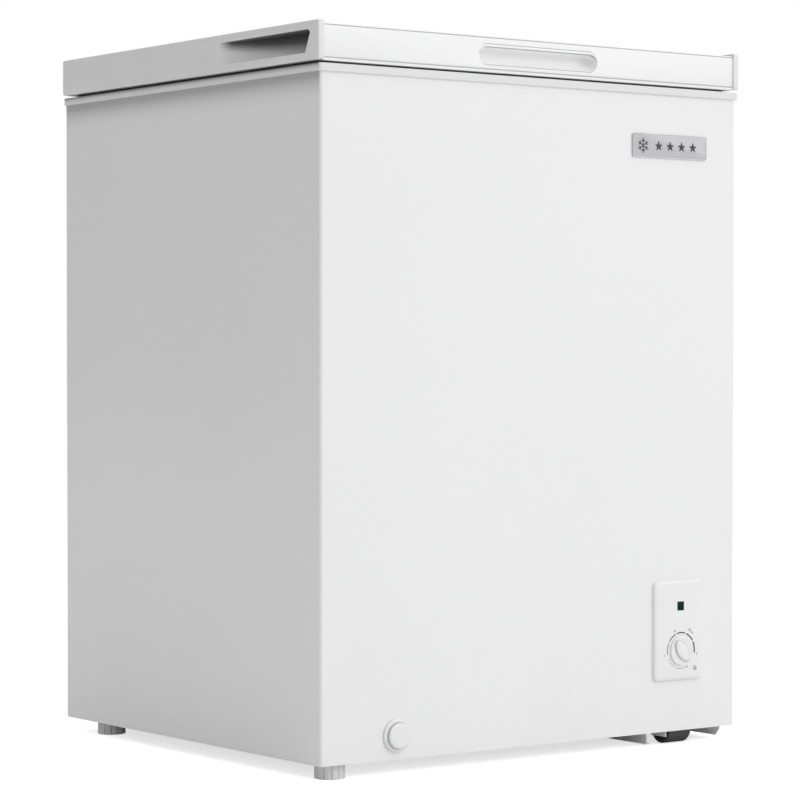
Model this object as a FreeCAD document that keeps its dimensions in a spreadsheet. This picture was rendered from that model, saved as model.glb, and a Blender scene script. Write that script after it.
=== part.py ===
import FreeCAD, Part
import math
import os
import re
import Sketcher
from FreeCAD import Placement, Rotation, Vector

# A small chest freezer. Origin: middle of the footprint, on the floor. +X right, +Y to the back, +Z up.
# Lengths are in millimetres, and every driving dimension is a cell of the sheet "Sizes".

DIMENSIONS = (
    ("half_width", 313, "half the cabinet's width"),
    ("half_depth", 282, "half the cabinet's depth"),
    ("height", 850, "floor to the top of the lid's end caps"),
    ("foot_height", 17.2, "floor to the cabinet's bottom edge"),
    ("skin", 1, "sheet thickness of the painted and galvanised panels"),
    ("shell_top", 793.2, "top edge of the cabinet's skin"),
    ("corner_radius", 4, "fold radius of the cabinet's upright front corners"),
    ("edge_flange", 10, "flange along the skin's lower edge"),
    ("soft", 1, "small rounding of moulded edges"),
    ("collar_top", 802, "top face of the plastic collar round the tub"),
    ("collar_side", 3, "collar beyond the cabinet at each side"),
    ("collar_front", 2.7, "collar beyond the cabinet at the front"),
    ("collar_rear", 2.5, "collar beyond the cabinet at the rear"),
    ("collar_lip", 62, "cabinet's face to the collar's inner lip"),
    ("skirt_gap", 1.5, "tub's face to the collar's skirt"),
    ("ledge_height", 772, "top of the ledge that the basket slides on"),
    ("ledge_thick", 5, "thickness of that ledge"),
    ("ledge_width", 8, "how far that ledge stands into the tub"),
    ("tub_wall", 58, "cabinet's face to the tub's inner face"),
    ("tub_floor", 78, "floor to the tub's inner floor"),
    ("liner", 1, "thickness of the tub's sheet"),
    ("tub_corner", 16, "radius of the tub's upright inner corners"),
    ("step_height", 352, "floor to the shelf over the compressor"),
    ("step_left", 96, "left face of that shelf"),
    ("bay_left", 152, "left wall of the compressor bay"),
    ("bay_top", 300, "ceiling of the compressor bay"),
    ("lid_bottom", 805.7, "underside of the closed lid"),
    ("lid_side", 4, "lid beyond the cabinet at each side"),
    ("lid_front", 2.4, "lid's end caps beyond the cabinet at the front"),
    ("lid_rear", 2.5, "lid beyond the cabinet at the rear"),
    ("cap_width", 7.7, "width of the end caps seen from the front"),
    ("cap_depth", 26, "how far the end caps' moulding reaches into the lid"),
    ("panel_top", 847.2, "top face of the lid's panel"),
    ("panel_wall", 2.5, "wall of the lid's plastic mouldings"),
    ("lining", 1.5, "sheet of the lid's lining"),
    ("lip_height", 807.8, "top of the lip along the lid's lower edge"),
    ("grip_top", 839.7, "top of the grip recess in each end cap"),
    ("grip_bottom", 814.5, "bottom of that recess"),
    ("grip_front", -268.5, "front end of that recess at its top"),
    ("grip_slant", 11.3, "how much further back the front end is at the bottom"),
    ("grip_rear", -79, "rear end of that recess, where it runs out"),
    ("grip_depth", 20, "depth of that recess at its front"),
    ("pocket_half_length", 89.7, "half the length of the handle pocket"),
    ("pocket_top", 838.5, "top of the handle pocket"),
    ("pocket_bottom", 813.3, "bottom of the handle pocket"),
    ("pocket_depth", 18, "depth of the handle pocket under its lip"),
    ("shelf_depth", 22, "width of the shelves that the lid's foam rests on"),
    ("gasket_inset", 8.5, "lid's edge to the gasket"),
    ("gasket_width", 15, "width of the gasket"),
    ("gasket_gap", 0.3, "collar to the closed gasket"),
    ("bulge_drop", 10, "how far the lid's lining bulges into the tub"),
    ("bulge_inset", 12, "collar's lip to that bulge"),
    ("hinge_x", 190, "middle plane to each hinge"),
    ("hinge_pin_y", 290, "hinge pin's axis behind the middle"),
    ("hinge_pin_z", 802, "hinge pin's axis above the floor"),
    ("hinge_pin_radius", 2.5, "hinge pin's radius"),
    ("pin_fit", 0.06, "radial running fit of pins and shafts"),
    ("hinge_rear", 298, "rearmost face of the hinge housings"),
    ("housing_half", 17, "half the width of a hinge housing"),
    ("housing_wall", 1.5, "sheet of the hinge housings"),
    ("ear_radius", 4.8, "rounded top of the ears that hold the hinge pin"),
    ("bezel_x", 217.2, "control panel's middle"),
    ("bezel_z", 140.6, "control panel's middle above the floor"),
    ("bezel_half_width", 39.25, "half the control panel's width"),
    ("bezel_half_height", 61.15, "half the control panel's height"),
    ("bezel_thick", 5, "how far the control panel stands out"),
    ("bezel_edge", 3, "rounding of the control panel's edges"),
    ("bezel_wall", 2, "wall of the tray behind the control panel"),
    ("dial_x", 220, "thermostat shaft"),
    ("dial_z", 115.7, "thermostat shaft above the floor"),
    ("shaft_radius", 3, "thermostat shaft's radius"),
    ("knob_radius", 18, "thermostat knob's radius"),
    ("knob_disc", 3.2, "thickness of the knob's disc"),
    ("knob_front", -298, "front of the knob's grip"),
    ("blade_radius", 26, "radius of the knob grip's two curved sides"),
    ("blade_half", 6.5, "half the grip's thickness at its middle"),
    ("blade_lean", 37, "lean of the knob's grip from upright, in degrees"),
    ("lamp_x", 219.7, "indicator's middle"),
    ("lamp_z", 170.3, "indicator's middle above the floor"),
    ("lamp_half", 5.5, "half the side of the indicator's square window"),
    ("badge_x", 204.2, "badge's middle"),
    ("badge_z", 730.5, "badge's middle above the floor"),
    ("badge_half_width", 60, "half the badge's width"),
    ("badge_half_height", 14.5, "half the badge's height"),
    ("badge_thick", 1.3, "badge's thickness"),
    ("badge_corner", 3, "badge's corner radius"),
    ("drain_x", -208, "drain's middle"),
    ("drain_z", 44.5, "front drain above the floor"),
    ("drain_y", -190, "drain hole in the tub's floor"),
    ("drain_cap_radius", 19, "front drain cap's radius"),
    ("drain_bore", 9, "bore of the drain pipe"),
    ("drain_outer", 12, "outer radius of the drain pipe"),
    ("foot_radius", 17.5, "levelling foot's radius"),
    ("foot_x", -283.5, "both feet's middle"),
    ("foot_front_y", -257.3, "front foot's middle"),
    ("foot_rear_y", 222, "rear foot's middle"),
    ("stud_radius", 4, "levelling foot's stud"),
    ("stud_length", 26, "levelling foot's stud above the foot"),
    ("stud_fit", 0.3, "gap round the stud's thread"),
    ("groove_radius", 1.1, "grooves down the levelling foot's side"),
    ("roller_radius", 18, "roller's radius"),
    ("roller_half", 17.5, "half the roller's width"),
    ("roller_x", 229.2, "both rollers' middle"),
    ("roller_front_y", -258.5, "front roller's axle"),
    ("roller_rear_y", 240, "rear roller's axle"),
    ("axle_radius", 4, "roller's axle"),
    ("axle_head", 6, "radius of the axle's heads"),
    ("cheek_inner", 18.7, "roller's middle to its bracket's cheek"),
    ("cheek_outer", 20.7, "roller's middle to the cheek's outer face"),
    ("bracket_half", 13, "half the bracket's size from front to back"),
    ("tray_thick", 1.5, "compressor tray's sheet"),
    ("tray_top", 19.7, "top of the compressor tray"),
    ("tray_left", 182, "left flange of the compressor tray"),
    ("tray_right", 301, "right flange of the compressor tray"),
    ("pump_x", 240, "compressor's middle"),
    ("pump_y", 100, "compressor's middle behind the freezer's middle"),
    ("pump_bottom", 34, "compressor's underside"),
    ("pump_height", 150, "compressor's height"),
    ("pump_radius", 60, "compressor's radius"),
    ("pump_wall", 4, "wall of the compressor's pot"),
    ("pump_corner", 28, "rounding of the compressor's pot"),
    ("pump_inner_corner", 22, "rounding inside the pot"),
    ("coil_radius", 4, "evaporator and condenser tube's radius"),
    ("pipe_radius", 3, "compressor pipes' radius"),
    ("gland_z", 160, "mains lead's inlet above the floor"),
    ("basket_left", 34, "left side of the wire basket"),
    ("basket_right", 246, "right side of the wire basket"),
    ("basket_half", 206, "half the basket's size from front to back"),
    ("basket_bottom", 590, "underside of the basket"),
    ("basket_top", 780, "top of the basket's rim"),
    ("basket_pitch", 26, "spacing of the basket's upright wires"),
    ("basket_gap_half", 10, "half the gap between upright wires"),
    ("wire", 4, "thickness of the basket's wires"),
)

doc = FreeCAD.newDocument("chest_freezer")
sheet = doc.addObject("Spreadsheet::Sheet", "Sizes")
for row, (alias, value, meaning) in enumerate(DIMENSIONS, 1):
    sheet.set(f"A{row}", meaning)
    sheet.set(f"B{row}", str(value))
    sheet.setAlias(f"B{row}", alias)
doc.recompute()

ALIASES = {alias for alias, _, _ in DIMENSIONS}
NUDGE = 1  # how far a cutting solid runs past the face that it opens
SIDES = (-1, 1)


def formula(text):
    """The text with every alias pointing at its cell in the sheet."""
    return re.sub(r"[a-z_]+", lambda word: "Sizes." + word[0] if word[0] in ALIASES else word[0], str(text))


def dim(alias):
    return float(sheet.get(alias))


def bind(thing, **formulas):
    for name, text in formulas.items():
        thing.setExpression(name, formula(text))
    return thing


def move(thing, x=None, y=None, z=None, rotation=None):
    """Turns a thing, then binds where it stands."""
    if rotation:
        thing.Placement = Placement(Vector(), rotation)
    for axis, text in zip("xyz", (x, y, z)):
        if text is not None:
            thing.setExpression(f".Placement.Base.{axis}", formula(text))
    return thing


# ---- shapes that the sub-parts are made of

TO_REAR = Rotation(Vector(1, 0, 0), -90)
TO_FRONT = Rotation(Vector(1, 0, 0), 90)
TO_RIGHT = Rotation(Vector(0, 1, 0), 90)


def block(name, x, y, z):
    """A box from three pairs of formulas, each a low and a high side."""
    solid = doc.addObject("Part::Box", name)
    for side, (low, high) in zip(("Length", "Width", "Height"), (x, y, z)):
        solid.setExpression(side, formula(f"({high}) - ({low})"))
    return move(solid, x[0], y[0], z[0])


def about(middle, half):
    """The two sides of a span round its middle."""
    return f"{middle} - ({half})", f"{middle} + {half}"


def both(half):
    """The two sides of a span round the freezer's middle."""
    return f"-({half})", half


def rod(name, radius, length, x, y, z, rotation=None):
    """A cylinder that stands on x, y, z and points up, or where the rotation takes it."""
    solid = bind(doc.addObject("Part::Cylinder", name), Radius=radius, Height=length)
    return move(solid, x, y, z, rotation)


def fuse(name, *pieces):
    solid = doc.addObject("Part::MultiFuse", name)
    solid.Shapes = list(pieces)
    solid.Refine = True
    return solid


def group(name, *pieces):
    """Separate solids that share one node."""
    solid = doc.addObject("Part::Compound", name)
    solid.Links = list(pieces)
    return solid


def cut(name, base, *tools):
    solid = doc.addObject("Part::Cut", name)
    solid.Base = base
    solid.Tool = tools[0] if len(tools) == 1 else group(name + "_tools", *tools)
    solid.Refine = True
    return solid


def common(name, first, *others):
    """What two or more solids share."""
    for i, other in enumerate(others):
        last = i == len(others) - 1
        shared = doc.addObject("Part::MultiCommon", name if last else f"{name}_shared_{i}")
        shared.Shapes = [first, other]
        first = shared
    return first


def rounded(name, base, radius, test):
    """Rounds the edges of a solid that pass the test."""
    doc.recompute()
    solid = doc.addObject("Part::Fillet", name)
    solid.Base = base
    solid.Edges = [(i, radius, radius) for i, edge in enumerate(base.Shape.Edges, 1) if test(edge)]
    return solid


def along(axis, edge):
    """Whether an edge is straight and runs along X, Y or Z."""
    span = [edge.BoundBox.XLength, edge.BoundBox.YLength, edge.BoundBox.ZLength]
    length = span.pop("xyz".index(axis))
    return length > 1e-3 and max(span) < 1e-3


def upright(edge):
    return along("z", edge)


def upright_front(edge):
    return upright(edge) and edge.BoundBox.YMax < 0


def origin_feature(body, role):
    return next(feature for feature in body.Origin.OriginFeatures if feature.Role == role)


def attached_sketch(body, name, plane):
    sketch = body.newObject("Sketcher::SketchObject", name)
    sketch.AttachmentSupport = (origin_feature(body, plane), [""])
    sketch.MapMode = "FlatFace"
    return sketch


def worked_out(points):
    """The places that pairs of formulas give, worked out in a sheet that is then thrown away."""
    scratch = doc.addObject("Spreadsheet::Sheet", "Corners")
    for row, (across, up) in enumerate(points, 1):
        scratch.set(f"A{row}", "=" + formula(across))
        scratch.set(f"B{row}", "=" + formula(up))
    scratch.recompute()
    places = [Vector(float(scratch.get(f"A{row}")), float(scratch.get(f"B{row}")), 0)
              for row in range(1, len(points) + 1)]
    doc.removeObject(scratch.Name)
    return places


def outline(body, name, plane, points):
    """A closed sketch of straight sides, each corner held by two dimensions taken from the sheet."""
    sketch = attached_sketch(body, name, plane)
    corners = worked_out(points)
    count = len(corners)
    for i in range(count):
        sketch.addGeometry(Part.LineSegment(corners[i], corners[(i + 1) % count]), False)
    for i in range(count):
        sketch.addConstraint(Sketcher.Constraint("Coincident", i, 2, (i + 1) % count, 1))
    for i, (across, up) in enumerate(points):
        hold(sketch, i, "DistanceX", across, corners[i].x, -2)
        hold(sketch, i, "DistanceY", up, corners[i].y, -1)
    return sketch


def hold(sketch, corner, kind, text, size, axis):
    """Ties one coordinate of a corner to a formula, or to the sketch's axis where it is nought."""
    if abs(size) < 1e-9:
        sketch.addConstraint(Sketcher.Constraint("PointOnObject", corner, 1, axis))
        return
    held = sketch.addConstraint(Sketcher.Constraint(kind, -1, 1, corner, 1, size))
    sketch.setExpression(f"Constraints[{held}]", formula(text))


def turned(name, points):
    """A body turned about its own Z axis from an outline of (radius, height) corners."""
    body = doc.addObject("PartDesign::Body", name)
    sketch = outline(body, name + "_outline", "XZ_Plane", points)
    turn = body.newObject("PartDesign::Revolution", name + "_turn")
    turn.Profile = sketch
    turn.ReferenceAxis = (sketch, ["V_Axis"])
    turn.Angle = 360
    body.Tip = turn
    return body


def prism(name, plane, points, low, high):
    """An outline in a plane, padded between two places on the plane's normal."""
    body = doc.addObject("PartDesign::Body", name)
    pad = body.newObject("PartDesign::Pad", name + "_pad")
    pad.Profile = outline(body, name + "_outline", plane, points)
    bind(pad, Length=f"({high}) - ({low})")
    body.Tip = pad
    if plane == "YZ_Plane":
        return move(body, x=low)
    if plane == "XZ_Plane":
        return move(body, y=high)
    return move(body, z=low)


def soften(body, name, radius, test):
    """Rounds the edges of a body's tip that pass the test."""
    doc.recompute()
    base = body.Tip
    fillet = body.newObject("PartDesign::Fillet", name)
    fillet.Base = (base, [f"Edge{i}" for i, edge in enumerate(base.Shape.Edges, 1) if test(edge)])
    bind(fillet, Radius=radius)
    body.Tip = fillet
    return body


def rounded_route(points, bend):
    """Straight runs joined by tangent arcs of the bend radius."""
    places = [Vector(*point) for point in points]
    edges = []
    start = places[0]
    for before, here, after in zip(places, places[1:], places[2:]):
        arriving = (here - before).normalize()
        leaving = (after - here).normalize()
        half_turn = arriving.getAngle(leaving) / 2
        reach = bend * math.tan(half_turn)
        first = here - arriving * reach
        last = here + leaving * reach
        inward = (leaving - arriving).normalize()
        middle = here + inward * (bend / math.cos(half_turn) - bend)
        edges.append(Part.LineSegment(start, first).toShape())
        edges.append(Part.Arc(first, middle, last).toShape())
        start = last
    edges.append(Part.LineSegment(start, places[-1]).toShape())
    return Part.Wire(edges)


def tube(name, radius, bend, points):
    """A round bar along a route."""
    path = doc.addObject("Part::Feature", name + "_path")
    path.Shape = rounded_route(points, bend)
    ring = bind(doc.addObject("Part::Circle", name + "_ring"), Radius=radius)
    ring.Placement = Placement(Vector(*points[0]),
                               Rotation(Vector(0, 0, 1), Vector(*points[1]) - Vector(*points[0])))
    sweep = doc.addObject("Part::Sweep", name)
    sweep.Sections = [ring]
    sweep.Spine = (path, [])
    sweep.Solid = True
    return sweep


# ---- cabinet

ACROSS = both("half_width")
ACROSS_INSIDE = both("half_width - skin")
FRONT = "-half_depth"
REAR = "half_depth"
DEEP_INSIDE = both("half_depth - skin")
FOOT_PLACES = ("foot_front_y", "foot_rear_y")
ROLLER_PLACES = ("roller_front_y", "roller_rear_y")


def cabinet_wrapper():
    """One painted sheet folded round the front and both sides, with a flange along its lower edge."""
    fold = dim("corner_radius")
    outer = block("wrapper_outer", ACROSS, (FRONT, REAR), ("foot_height", "shell_top"))
    outer = rounded("wrapper_folded", outer, fold, upright_front)
    inner = block("wrapper_inner", ACROSS_INSIDE, (FRONT + " + skin", f"{REAR} + {NUDGE}"),
                  ("foot_height + skin", f"shell_top + {NUDGE}"))
    inner = rounded("wrapper_inner_folded", inner, fold, upright_front)
    mouth = block("wrapper_mouth", both("half_width - edge_flange"),
                  (f"{FRONT} + edge_flange", f"{REAR} + {NUDGE}"),
                  (f"foot_height - {NUDGE}", f"foot_height + skin + {NUDGE}"))
    window = block("wrapper_window", about("bezel_x", "bezel_half_width - 6"),
                   (f"{FRONT} - {NUDGE}", f"{FRONT} + 2 * skin"),
                   about("bezel_z", "bezel_half_height - 6"))
    drain = rod("wrapper_drain", "drain_outer + 0.5", "3 * skin", "drain_x", f"{FRONT} - skin", "drain_z",
                TO_REAR)
    return cut("cabinet_wrapper", outer, inner, mouth, window, drain, *stud_holes("wrapper_stud"),
               *wheel_openings("wrapper_wheel"))


def stud_holes(name):
    """Holes for the feet's studs through the cabinet's bottom."""
    return [rod(f"{name}_{i}", "stud_radius + 1", "6 * skin", "foot_x", y, "foot_height - 2 * skin")
            for i, y in enumerate(FOOT_PLACES)]


def wheel_openings(name):
    """The slots that the rollers and their brackets stand in."""
    return [block(f"{name}_{i}", about("roller_x", "cheek_outer + 4"), about(y, "roller_radius + 3"),
                  ("foot_height - 5", "foot_height + 10")) for i, y in enumerate(ROLLER_PLACES)]


def rear_panel():
    """The galvanised back, cut away behind the compressor."""
    panel = block("rear_sheet", ACROSS_INSIDE, (REAR + " - skin", REAR),
                  ("foot_height + skin", "shell_top"))
    opening = block("rear_opening", ("bay_left", f"half_width + {NUDGE}"),
                    (f"{REAR} - 5", f"{REAR} + {NUDGE}"),
                    ("foot_height", "bay_top"))
    return cut("rear_panel", panel, opening, *screw_bores("rear_screw"))


def bottom_panel():
    """The sheet under the insulation."""
    panel = block("bottom_sheet", ("-half_width + skin", "bay_left"), DEEP_INSIDE,
                  ("foot_height + skin", "foot_height + 2 * skin"))
    folded = rounded("bottom_folded", panel, dim("corner_radius"),
                     lambda e: upright_front(e) and e.BoundBox.XMax < 0)
    return cut("bottom_panel", folded, *stud_holes("bottom_stud"))


def compressor_base_tray():
    """The floor of the compressor bay, stiffened by two flanges that point down."""
    front, rear, slant = -266, 268, 3.5
    floor = block("tray_floor", ("bay_left", "half_width - skin"), DEEP_INSIDE,
                  ("foot_height + skin", "tray_top"))
    floor = rounded("tray_folded", floor, dim("corner_radius"),
                    lambda e: upright_front(e) and e.BoundBox.XMin > dim("bay_left") + 1)
    left = block("tray_left_flange", ("tray_left", "tray_left + tray_thick"), (front, rear),
                 ("tray_thick", "tray_top"))
    lip = block("tray_left_lip", ("tray_left", "tray_left + 5.5"), (front, rear),
                ("tray_thick", "2 * tray_thick"))
    right = prism("tray_right_flange", "YZ_Plane",
                  ((front + 4, slant), (rear, slant), (rear, "tray_top"), (front - slant, "tray_top"),
                   (front - slant, 12.3)),
                  "tray_right - tray_thick", "tray_right")
    bolts = [rod(f"tray_bolt_{i}", "3.3", "8", x, y, "foot_height - 2") for i,
             (x, y) in enumerate(pump_bolt_places())]
    vents = [block(f"tray_vent_{i}", about("pump_x", 35), (-120 + 22 * i, -112 + 22 * i),
                   ("foot_height", "foot_height + 6"))
             for i in range(5)]
    return cut("compressor_base_tray", fuse("tray_whole", floor, left, lip, right),
               *wheel_openings("tray_wheel"),
               *bolts, *vents)


def tub_solid(name, grow, top):
    """The tub with its step over the compressor, grown outwards by a distance."""
    wall = f"half_width - tub_wall + {grow}"
    step = f"step_left + {grow}"
    floor = f"tub_floor - {grow}"
    shelf = f"step_height - {grow}"
    corners = ((f"-({wall})", floor), (step, floor), (step, shelf), (wall, shelf), (wall, top),
               (f"-({wall})", top))
    body = prism(name, "XZ_Plane", corners, *both(f"half_depth - tub_wall + {grow}"))
    return soften(body, name + "_corners", f"tub_corner + {grow}", upright)


def cabinet_foam(*buried):
    """Insulation that fills the walls round the tub, less everything buried in it."""
    foam = block("foam_block", ACROSS_INSIDE, DEEP_INSIDE, ("foot_height + 2 * skin", "shell_top"))
    foam = rounded("foam_folded", foam, dim("corner_radius"), upright_front)
    bay = block("foam_bay", ("bay_left", f"half_width + {NUDGE}"), both(f"half_depth + {NUDGE}"),
                (0, "bay_top"))
    return cut("cabinet_foam", foam, bay, tub_solid("foam_tub", "liner", f"shell_top + {NUDGE}"), *buried)


def inner_liner():
    """The tub: one thin lining with a shelf over the compressor bay."""
    outer = tub_solid("liner_outer", "liner", "shell_top")
    inner = tub_solid("liner_inner", "0", f"shell_top + {NUDGE}")
    drain = rod("liner_drain", "drain_bore", "10", "drain_x", "drain_y", "tub_floor - 5")
    return cut("inner_liner", outer, inner, drain)


def frame_ring(name, outer, inner, z, outer_radius, inner_radius):
    """A flat ring with rounded corners in plan; outer and inner are each (x span, y span)."""
    solid = rounded(name + "_outer_soft", block(name + "_outer", *outer, z), dim(outer_radius), upright)
    low, high = z
    hole = block(name + "_inner", *inner, (f"{low} - {NUDGE}", f"{high} + {NUDGE}"))
    return cut(name, solid, rounded(name + "_inner_soft", hole, dim(inner_radius), upright))


def top_frame():
    """The plastic collar: a cover on the wall's top, a skirt down into the tub, ledges for the basket."""
    mouth = (both("half_width - collar_lip"), both("half_depth - collar_lip"))
    rim = (both("half_width + collar_side"), ("-half_depth - collar_front", "half_depth + collar_rear"))
    cover = frame_ring("collar_cover", rim, mouth, ("shell_top", "collar_top"), "corner_radius",
                       "tub_corner")
    inside = (both("half_width - tub_wall - skirt_gap"), both("half_depth - tub_wall - skirt_gap"))
    skirt_bottom = "ledge_height - ledge_thick"
    skirt = frame_ring("collar_skirt", inside, mouth, (skirt_bottom, "shell_top"), "tub_corner",
                       "tub_corner")
    edge = "half_depth - collar_lip"
    ledges = [block(f"collar_ledge_{i}", both("half_width - collar_lip - tub_corner"), y,
                    (skirt_bottom, "ledge_height"))
              for i, y in enumerate(((f"-({edge})", f"-({edge}) + ledge_width"),
                                     (f"{edge} - ledge_width", edge)))]
    return fuse("top_frame", cover, skirt, *ledges)


def winding(half_x, half_y, levels):
    """Corners of a tube that goes round a box once per level and climbs along the left side."""
    points = []
    for level, above in zip(levels, levels[1:] + [None]):
        points += [(half_x, half_y, level), (half_x, -half_y, level), (-half_x, -half_y, level)]
        if above:
            points.append((-half_x, half_y, above))
    return points


def wound_tube(name, half_x, half_y, levels, entry_x, entry_y, bend):
    """A tube that rises from the compressor bay's ceiling and winds round the tub."""
    entry = [(entry_x, entry_y, dim("bay_top")), (entry_x, entry_y, levels[0] - 38),
             (entry_x, half_y, levels[0])]
    return tube(name, "coil_radius", bend, entry + winding(half_x, half_y, levels))


def evaporator_tube():
    """Cold tube wound round the tub above its step, with one end in the compressor bay."""
    clear = dim("liner") + dim("coil_radius") + 0.5 - dim("tub_wall")
    half_y = dim("half_depth") + clear
    levels = [390 + 72 * i for i in range(6)]
    return wound_tube("evaporator_tube", dim("half_width") + clear, half_y, levels, SUCTION_X, half_y + 14,
                      22)


def condenser_tube():
    """Warm tube wound just inside the cabinet's skin."""
    clear = -dim("skin") - dim("coil_radius") - 1.5
    half_y = dim("half_depth") + clear
    levels = [360 + 90 * i for i in range(5)]
    return wound_tube("condenser_tube", dim("half_width") + clear, half_y, levels, DISCHARGE_X, half_y - 12,
                      18)


def drain_elbow(name, floor):
    """The outside of the pipe from the tub's floor to the front."""
    return fuse(name, rod(name + "_run", "drain_outer", "half_depth + drain_y + drain_outer", "drain_x",
                          FRONT, "drain_z", TO_REAR),
                rod(name + "_drop", "drain_outer", f"{floor} - drain_z + 5", "drain_x", "drain_y",
                    "drain_z - 5"))


def drain_pipe():
    """An elbow from the tub's floor to the front."""
    run = rod("drain_run_bore", "drain_bore", "half_depth + drain_y + 2", "drain_x", FRONT + " - 2",
              "drain_z", TO_REAR)
    drop = rod("drain_drop_bore", "drain_bore", "60", "drain_x", "drain_y", "drain_z")
    return cut("drain_pipe", drain_elbow("drain_outside", "tub_floor - liner"), run, drop)


def foot_sockets():
    """Threaded inserts in the foam above the feet."""
    seat = "foot_height + 2 * skin"
    sockets = []
    for i, y in enumerate(FOOT_PLACES):
        body = fuse(f"socket_body_{i}", rod(f"socket_base_{i}", "14", "3", "foot_x", y, seat),
                    rod(f"socket_barrel_{i}", "8", "stud_length + 8", "foot_x", y, seat))
        bore = rod(f"socket_bore_{i}", "stud_radius + stud_fit", "stud_length + 6", "foot_x", y,
                   "foot_height")
        sockets.append(cut(f"socket_{i}", body, bore))
    return group("foot_sockets", *sockets)


# ---- compressor bay

DISCHARGE_X = 262
SUCTION_X = 200


def pump_bolt_places():
    return [(f"pump_x + {48 * sx}", f"pump_y + {76 * sy}") for sx in SIDES for sy in SIDES]


def compressor_shell():
    """A welded steel pot on a pressed base plate."""
    seam = "pump_height * 0.55"
    pot = turned("pump_pot", ((0, 0), ("pump_radius", 0), ("pump_radius", seam), ("pump_radius + 3", seam),
                              ("pump_radius + 3", f"{seam} + 4"), ("pump_radius", f"{seam} + 4"),
                              ("pump_radius", "pump_height"), (0, "pump_height")))
    top = dim("pump_height")
    pot = soften(pot, "pump_pot_ends", "pump_corner",
                 lambda e: e.Length > 300 and not 1 < e.BoundBox.ZMin < top - 1)
    move(pot, "pump_x", "pump_y", "pump_bottom")
    plate = block("pump_plate", about("pump_x", 66), about("pump_y", 88),
                  ("pump_bottom", "pump_bottom + 3"))
    holes = [rod(f"pump_hole_{i}", "6.5", "20", x, y, "pump_bottom - 5") for i,
             (x, y) in enumerate(pump_bolt_places())]
    room = rod("pump_room_block", "pump_radius - pump_wall", "pump_height - 2 * pump_wall", "pump_x",
               "pump_y",
               "pump_bottom + pump_wall")
    room = rounded("pump_room", room, dim("pump_inner_corner"), lambda e: e.Length > 300)
    return cut("compressor_shell", fuse("pump_whole", pot, cut("pump_plate_drilled", plate, *holes)), room)


def compressor_motor():
    """The motor and pump block that stands on springs inside the pot."""
    foot = "pump_bottom + pump_wall"
    core = [rod("motor_stack", "42", "60", "pump_x", "pump_y", f"{foot} + 18"),
            rod("motor_crank", "20", "40", "pump_x", "pump_y", f"{foot} + 74"),
            block("motor_cylinder", ("pump_x - 14", "pump_x + 40"), about("pump_y", 14),
                  (f"{foot} + 84", f"{foot} + 110"))]
    springs = [rod(f"motor_spring_{sx}_{sy}", "5", "20", f"pump_x + {18 * sx}", f"pump_y + {18 * sy}", foot)
               for sx in SIDES for sy in SIDES]
    return fuse("compressor_motor", *core, *springs)


def compressor_grommets():
    """Rubber feet between the compressor's plate and the tray."""
    grommets = []
    for i, (x, y) in enumerate(pump_bolt_places()):
        body = fuse(f"grommet_body_{i}",
                    rod(f"grommet_base_{i}", "10", "pump_bottom - tray_top", x, y, "tray_top"),
                    rod(f"grommet_neck_{i}", "6.3", "5", x, y, "pump_bottom"),
                    rod(f"grommet_head_{i}", "9", "4", x, y, "pump_bottom + 3.1"))
        grommets.append(cut(f"grommet_{i}", body,
                            rod(f"grommet_bore_{i}", "3.2", "60", x, y, "foot_height - 5")))
    return group("compressor_grommets", *grommets)


def compressor_bolts():
    bolts = []
    for i, (x, y) in enumerate(pump_bolt_places()):
        shank = rod(f"pump_bolt_shank_{i}", "3", "pump_bottom + 10 - foot_height", x, y, "foot_height - 2")
        head = bind(doc.addObject("Part::Prism", f"pump_bolt_head_{i}"), Circumradius="6", Height="4")
        nut = rod(f"pump_bolt_nut_{i}", "5.5", "3", x, y, "foot_height + skin - 3.1")
        bolts.append(fuse(f"pump_bolt_{i}", shank, move(head, x, y, "pump_bottom + 7.2"), nut))
    return group("compressor_bolts", *bolts)


def terminal_cover():
    """The box with the start relay and overload switch, clipped to the pot's front."""
    cover = block("terminal_box", about("pump_x", 24), ("pump_y - pump_radius - 34", "pump_y - 40"),
                  ("pump_bottom + 34", "pump_bottom + 100"))
    cover = rounded("terminal_soft", cover, dim("corner_radius"), lambda e: along("x", e) or upright(e))
    pot = rod("terminal_pot", "pump_radius + 3.3", "160", "pump_x", "pump_y", "pump_bottom")
    return cut("compressor_terminal_cover", cover, pot)


def pot_pipe(name, shift, rise, ceiling_x, ceiling_y):
    """A copper pipe from the pot's top to the bay's ceiling at the rear."""
    x = dim("pump_x") + shift
    y = dim("pump_y")
    top = dim("pump_bottom") + dim("pump_height")
    route = [(x, y, top + 0.05), (x, y, top + rise), (ceiling_x, ceiling_y, top + rise + 20),
             (ceiling_x, ceiling_y, dim("bay_top"))]
    return tube(name, "pipe_radius", 14, route)


def discharge_pipe():
    """Hot gas, up to the condenser."""
    return pot_pipe("discharge_pipe", 24, 40, DISCHARGE_X,
                    dim("half_depth") - dim("skin") - dim("coil_radius") - 13.5)


def suction_pipe():
    """Cold gas, down from the evaporator."""
    rear = dim("half_depth") - dim("tub_wall") + dim("liner") + dim("coil_radius") + 14.5
    return pot_pipe("suction_pipe", -28, 26, SUCTION_X, rear)


def filter_drier():
    """A short copper canister with necked ends, upright at the rear of the bay."""
    body = turned("filter_drier", ((0, 0), (3, 0), (3, 8), (9, 16), (9, 84), (3, 92), (3, 100), (0, 100)))
    return move(body, 177, 200, 150)


def capillary_tube():
    """A thin tube from the drier into the ceiling."""
    route = [(177, 200, 250), (177, 200, 275), (177, 150, 285), (177, 120, 270), (177, 60, 272),
             (177, 60, dim("bay_top"))]
    return tube("capillary_tube", "1.2", 10, route)


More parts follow.
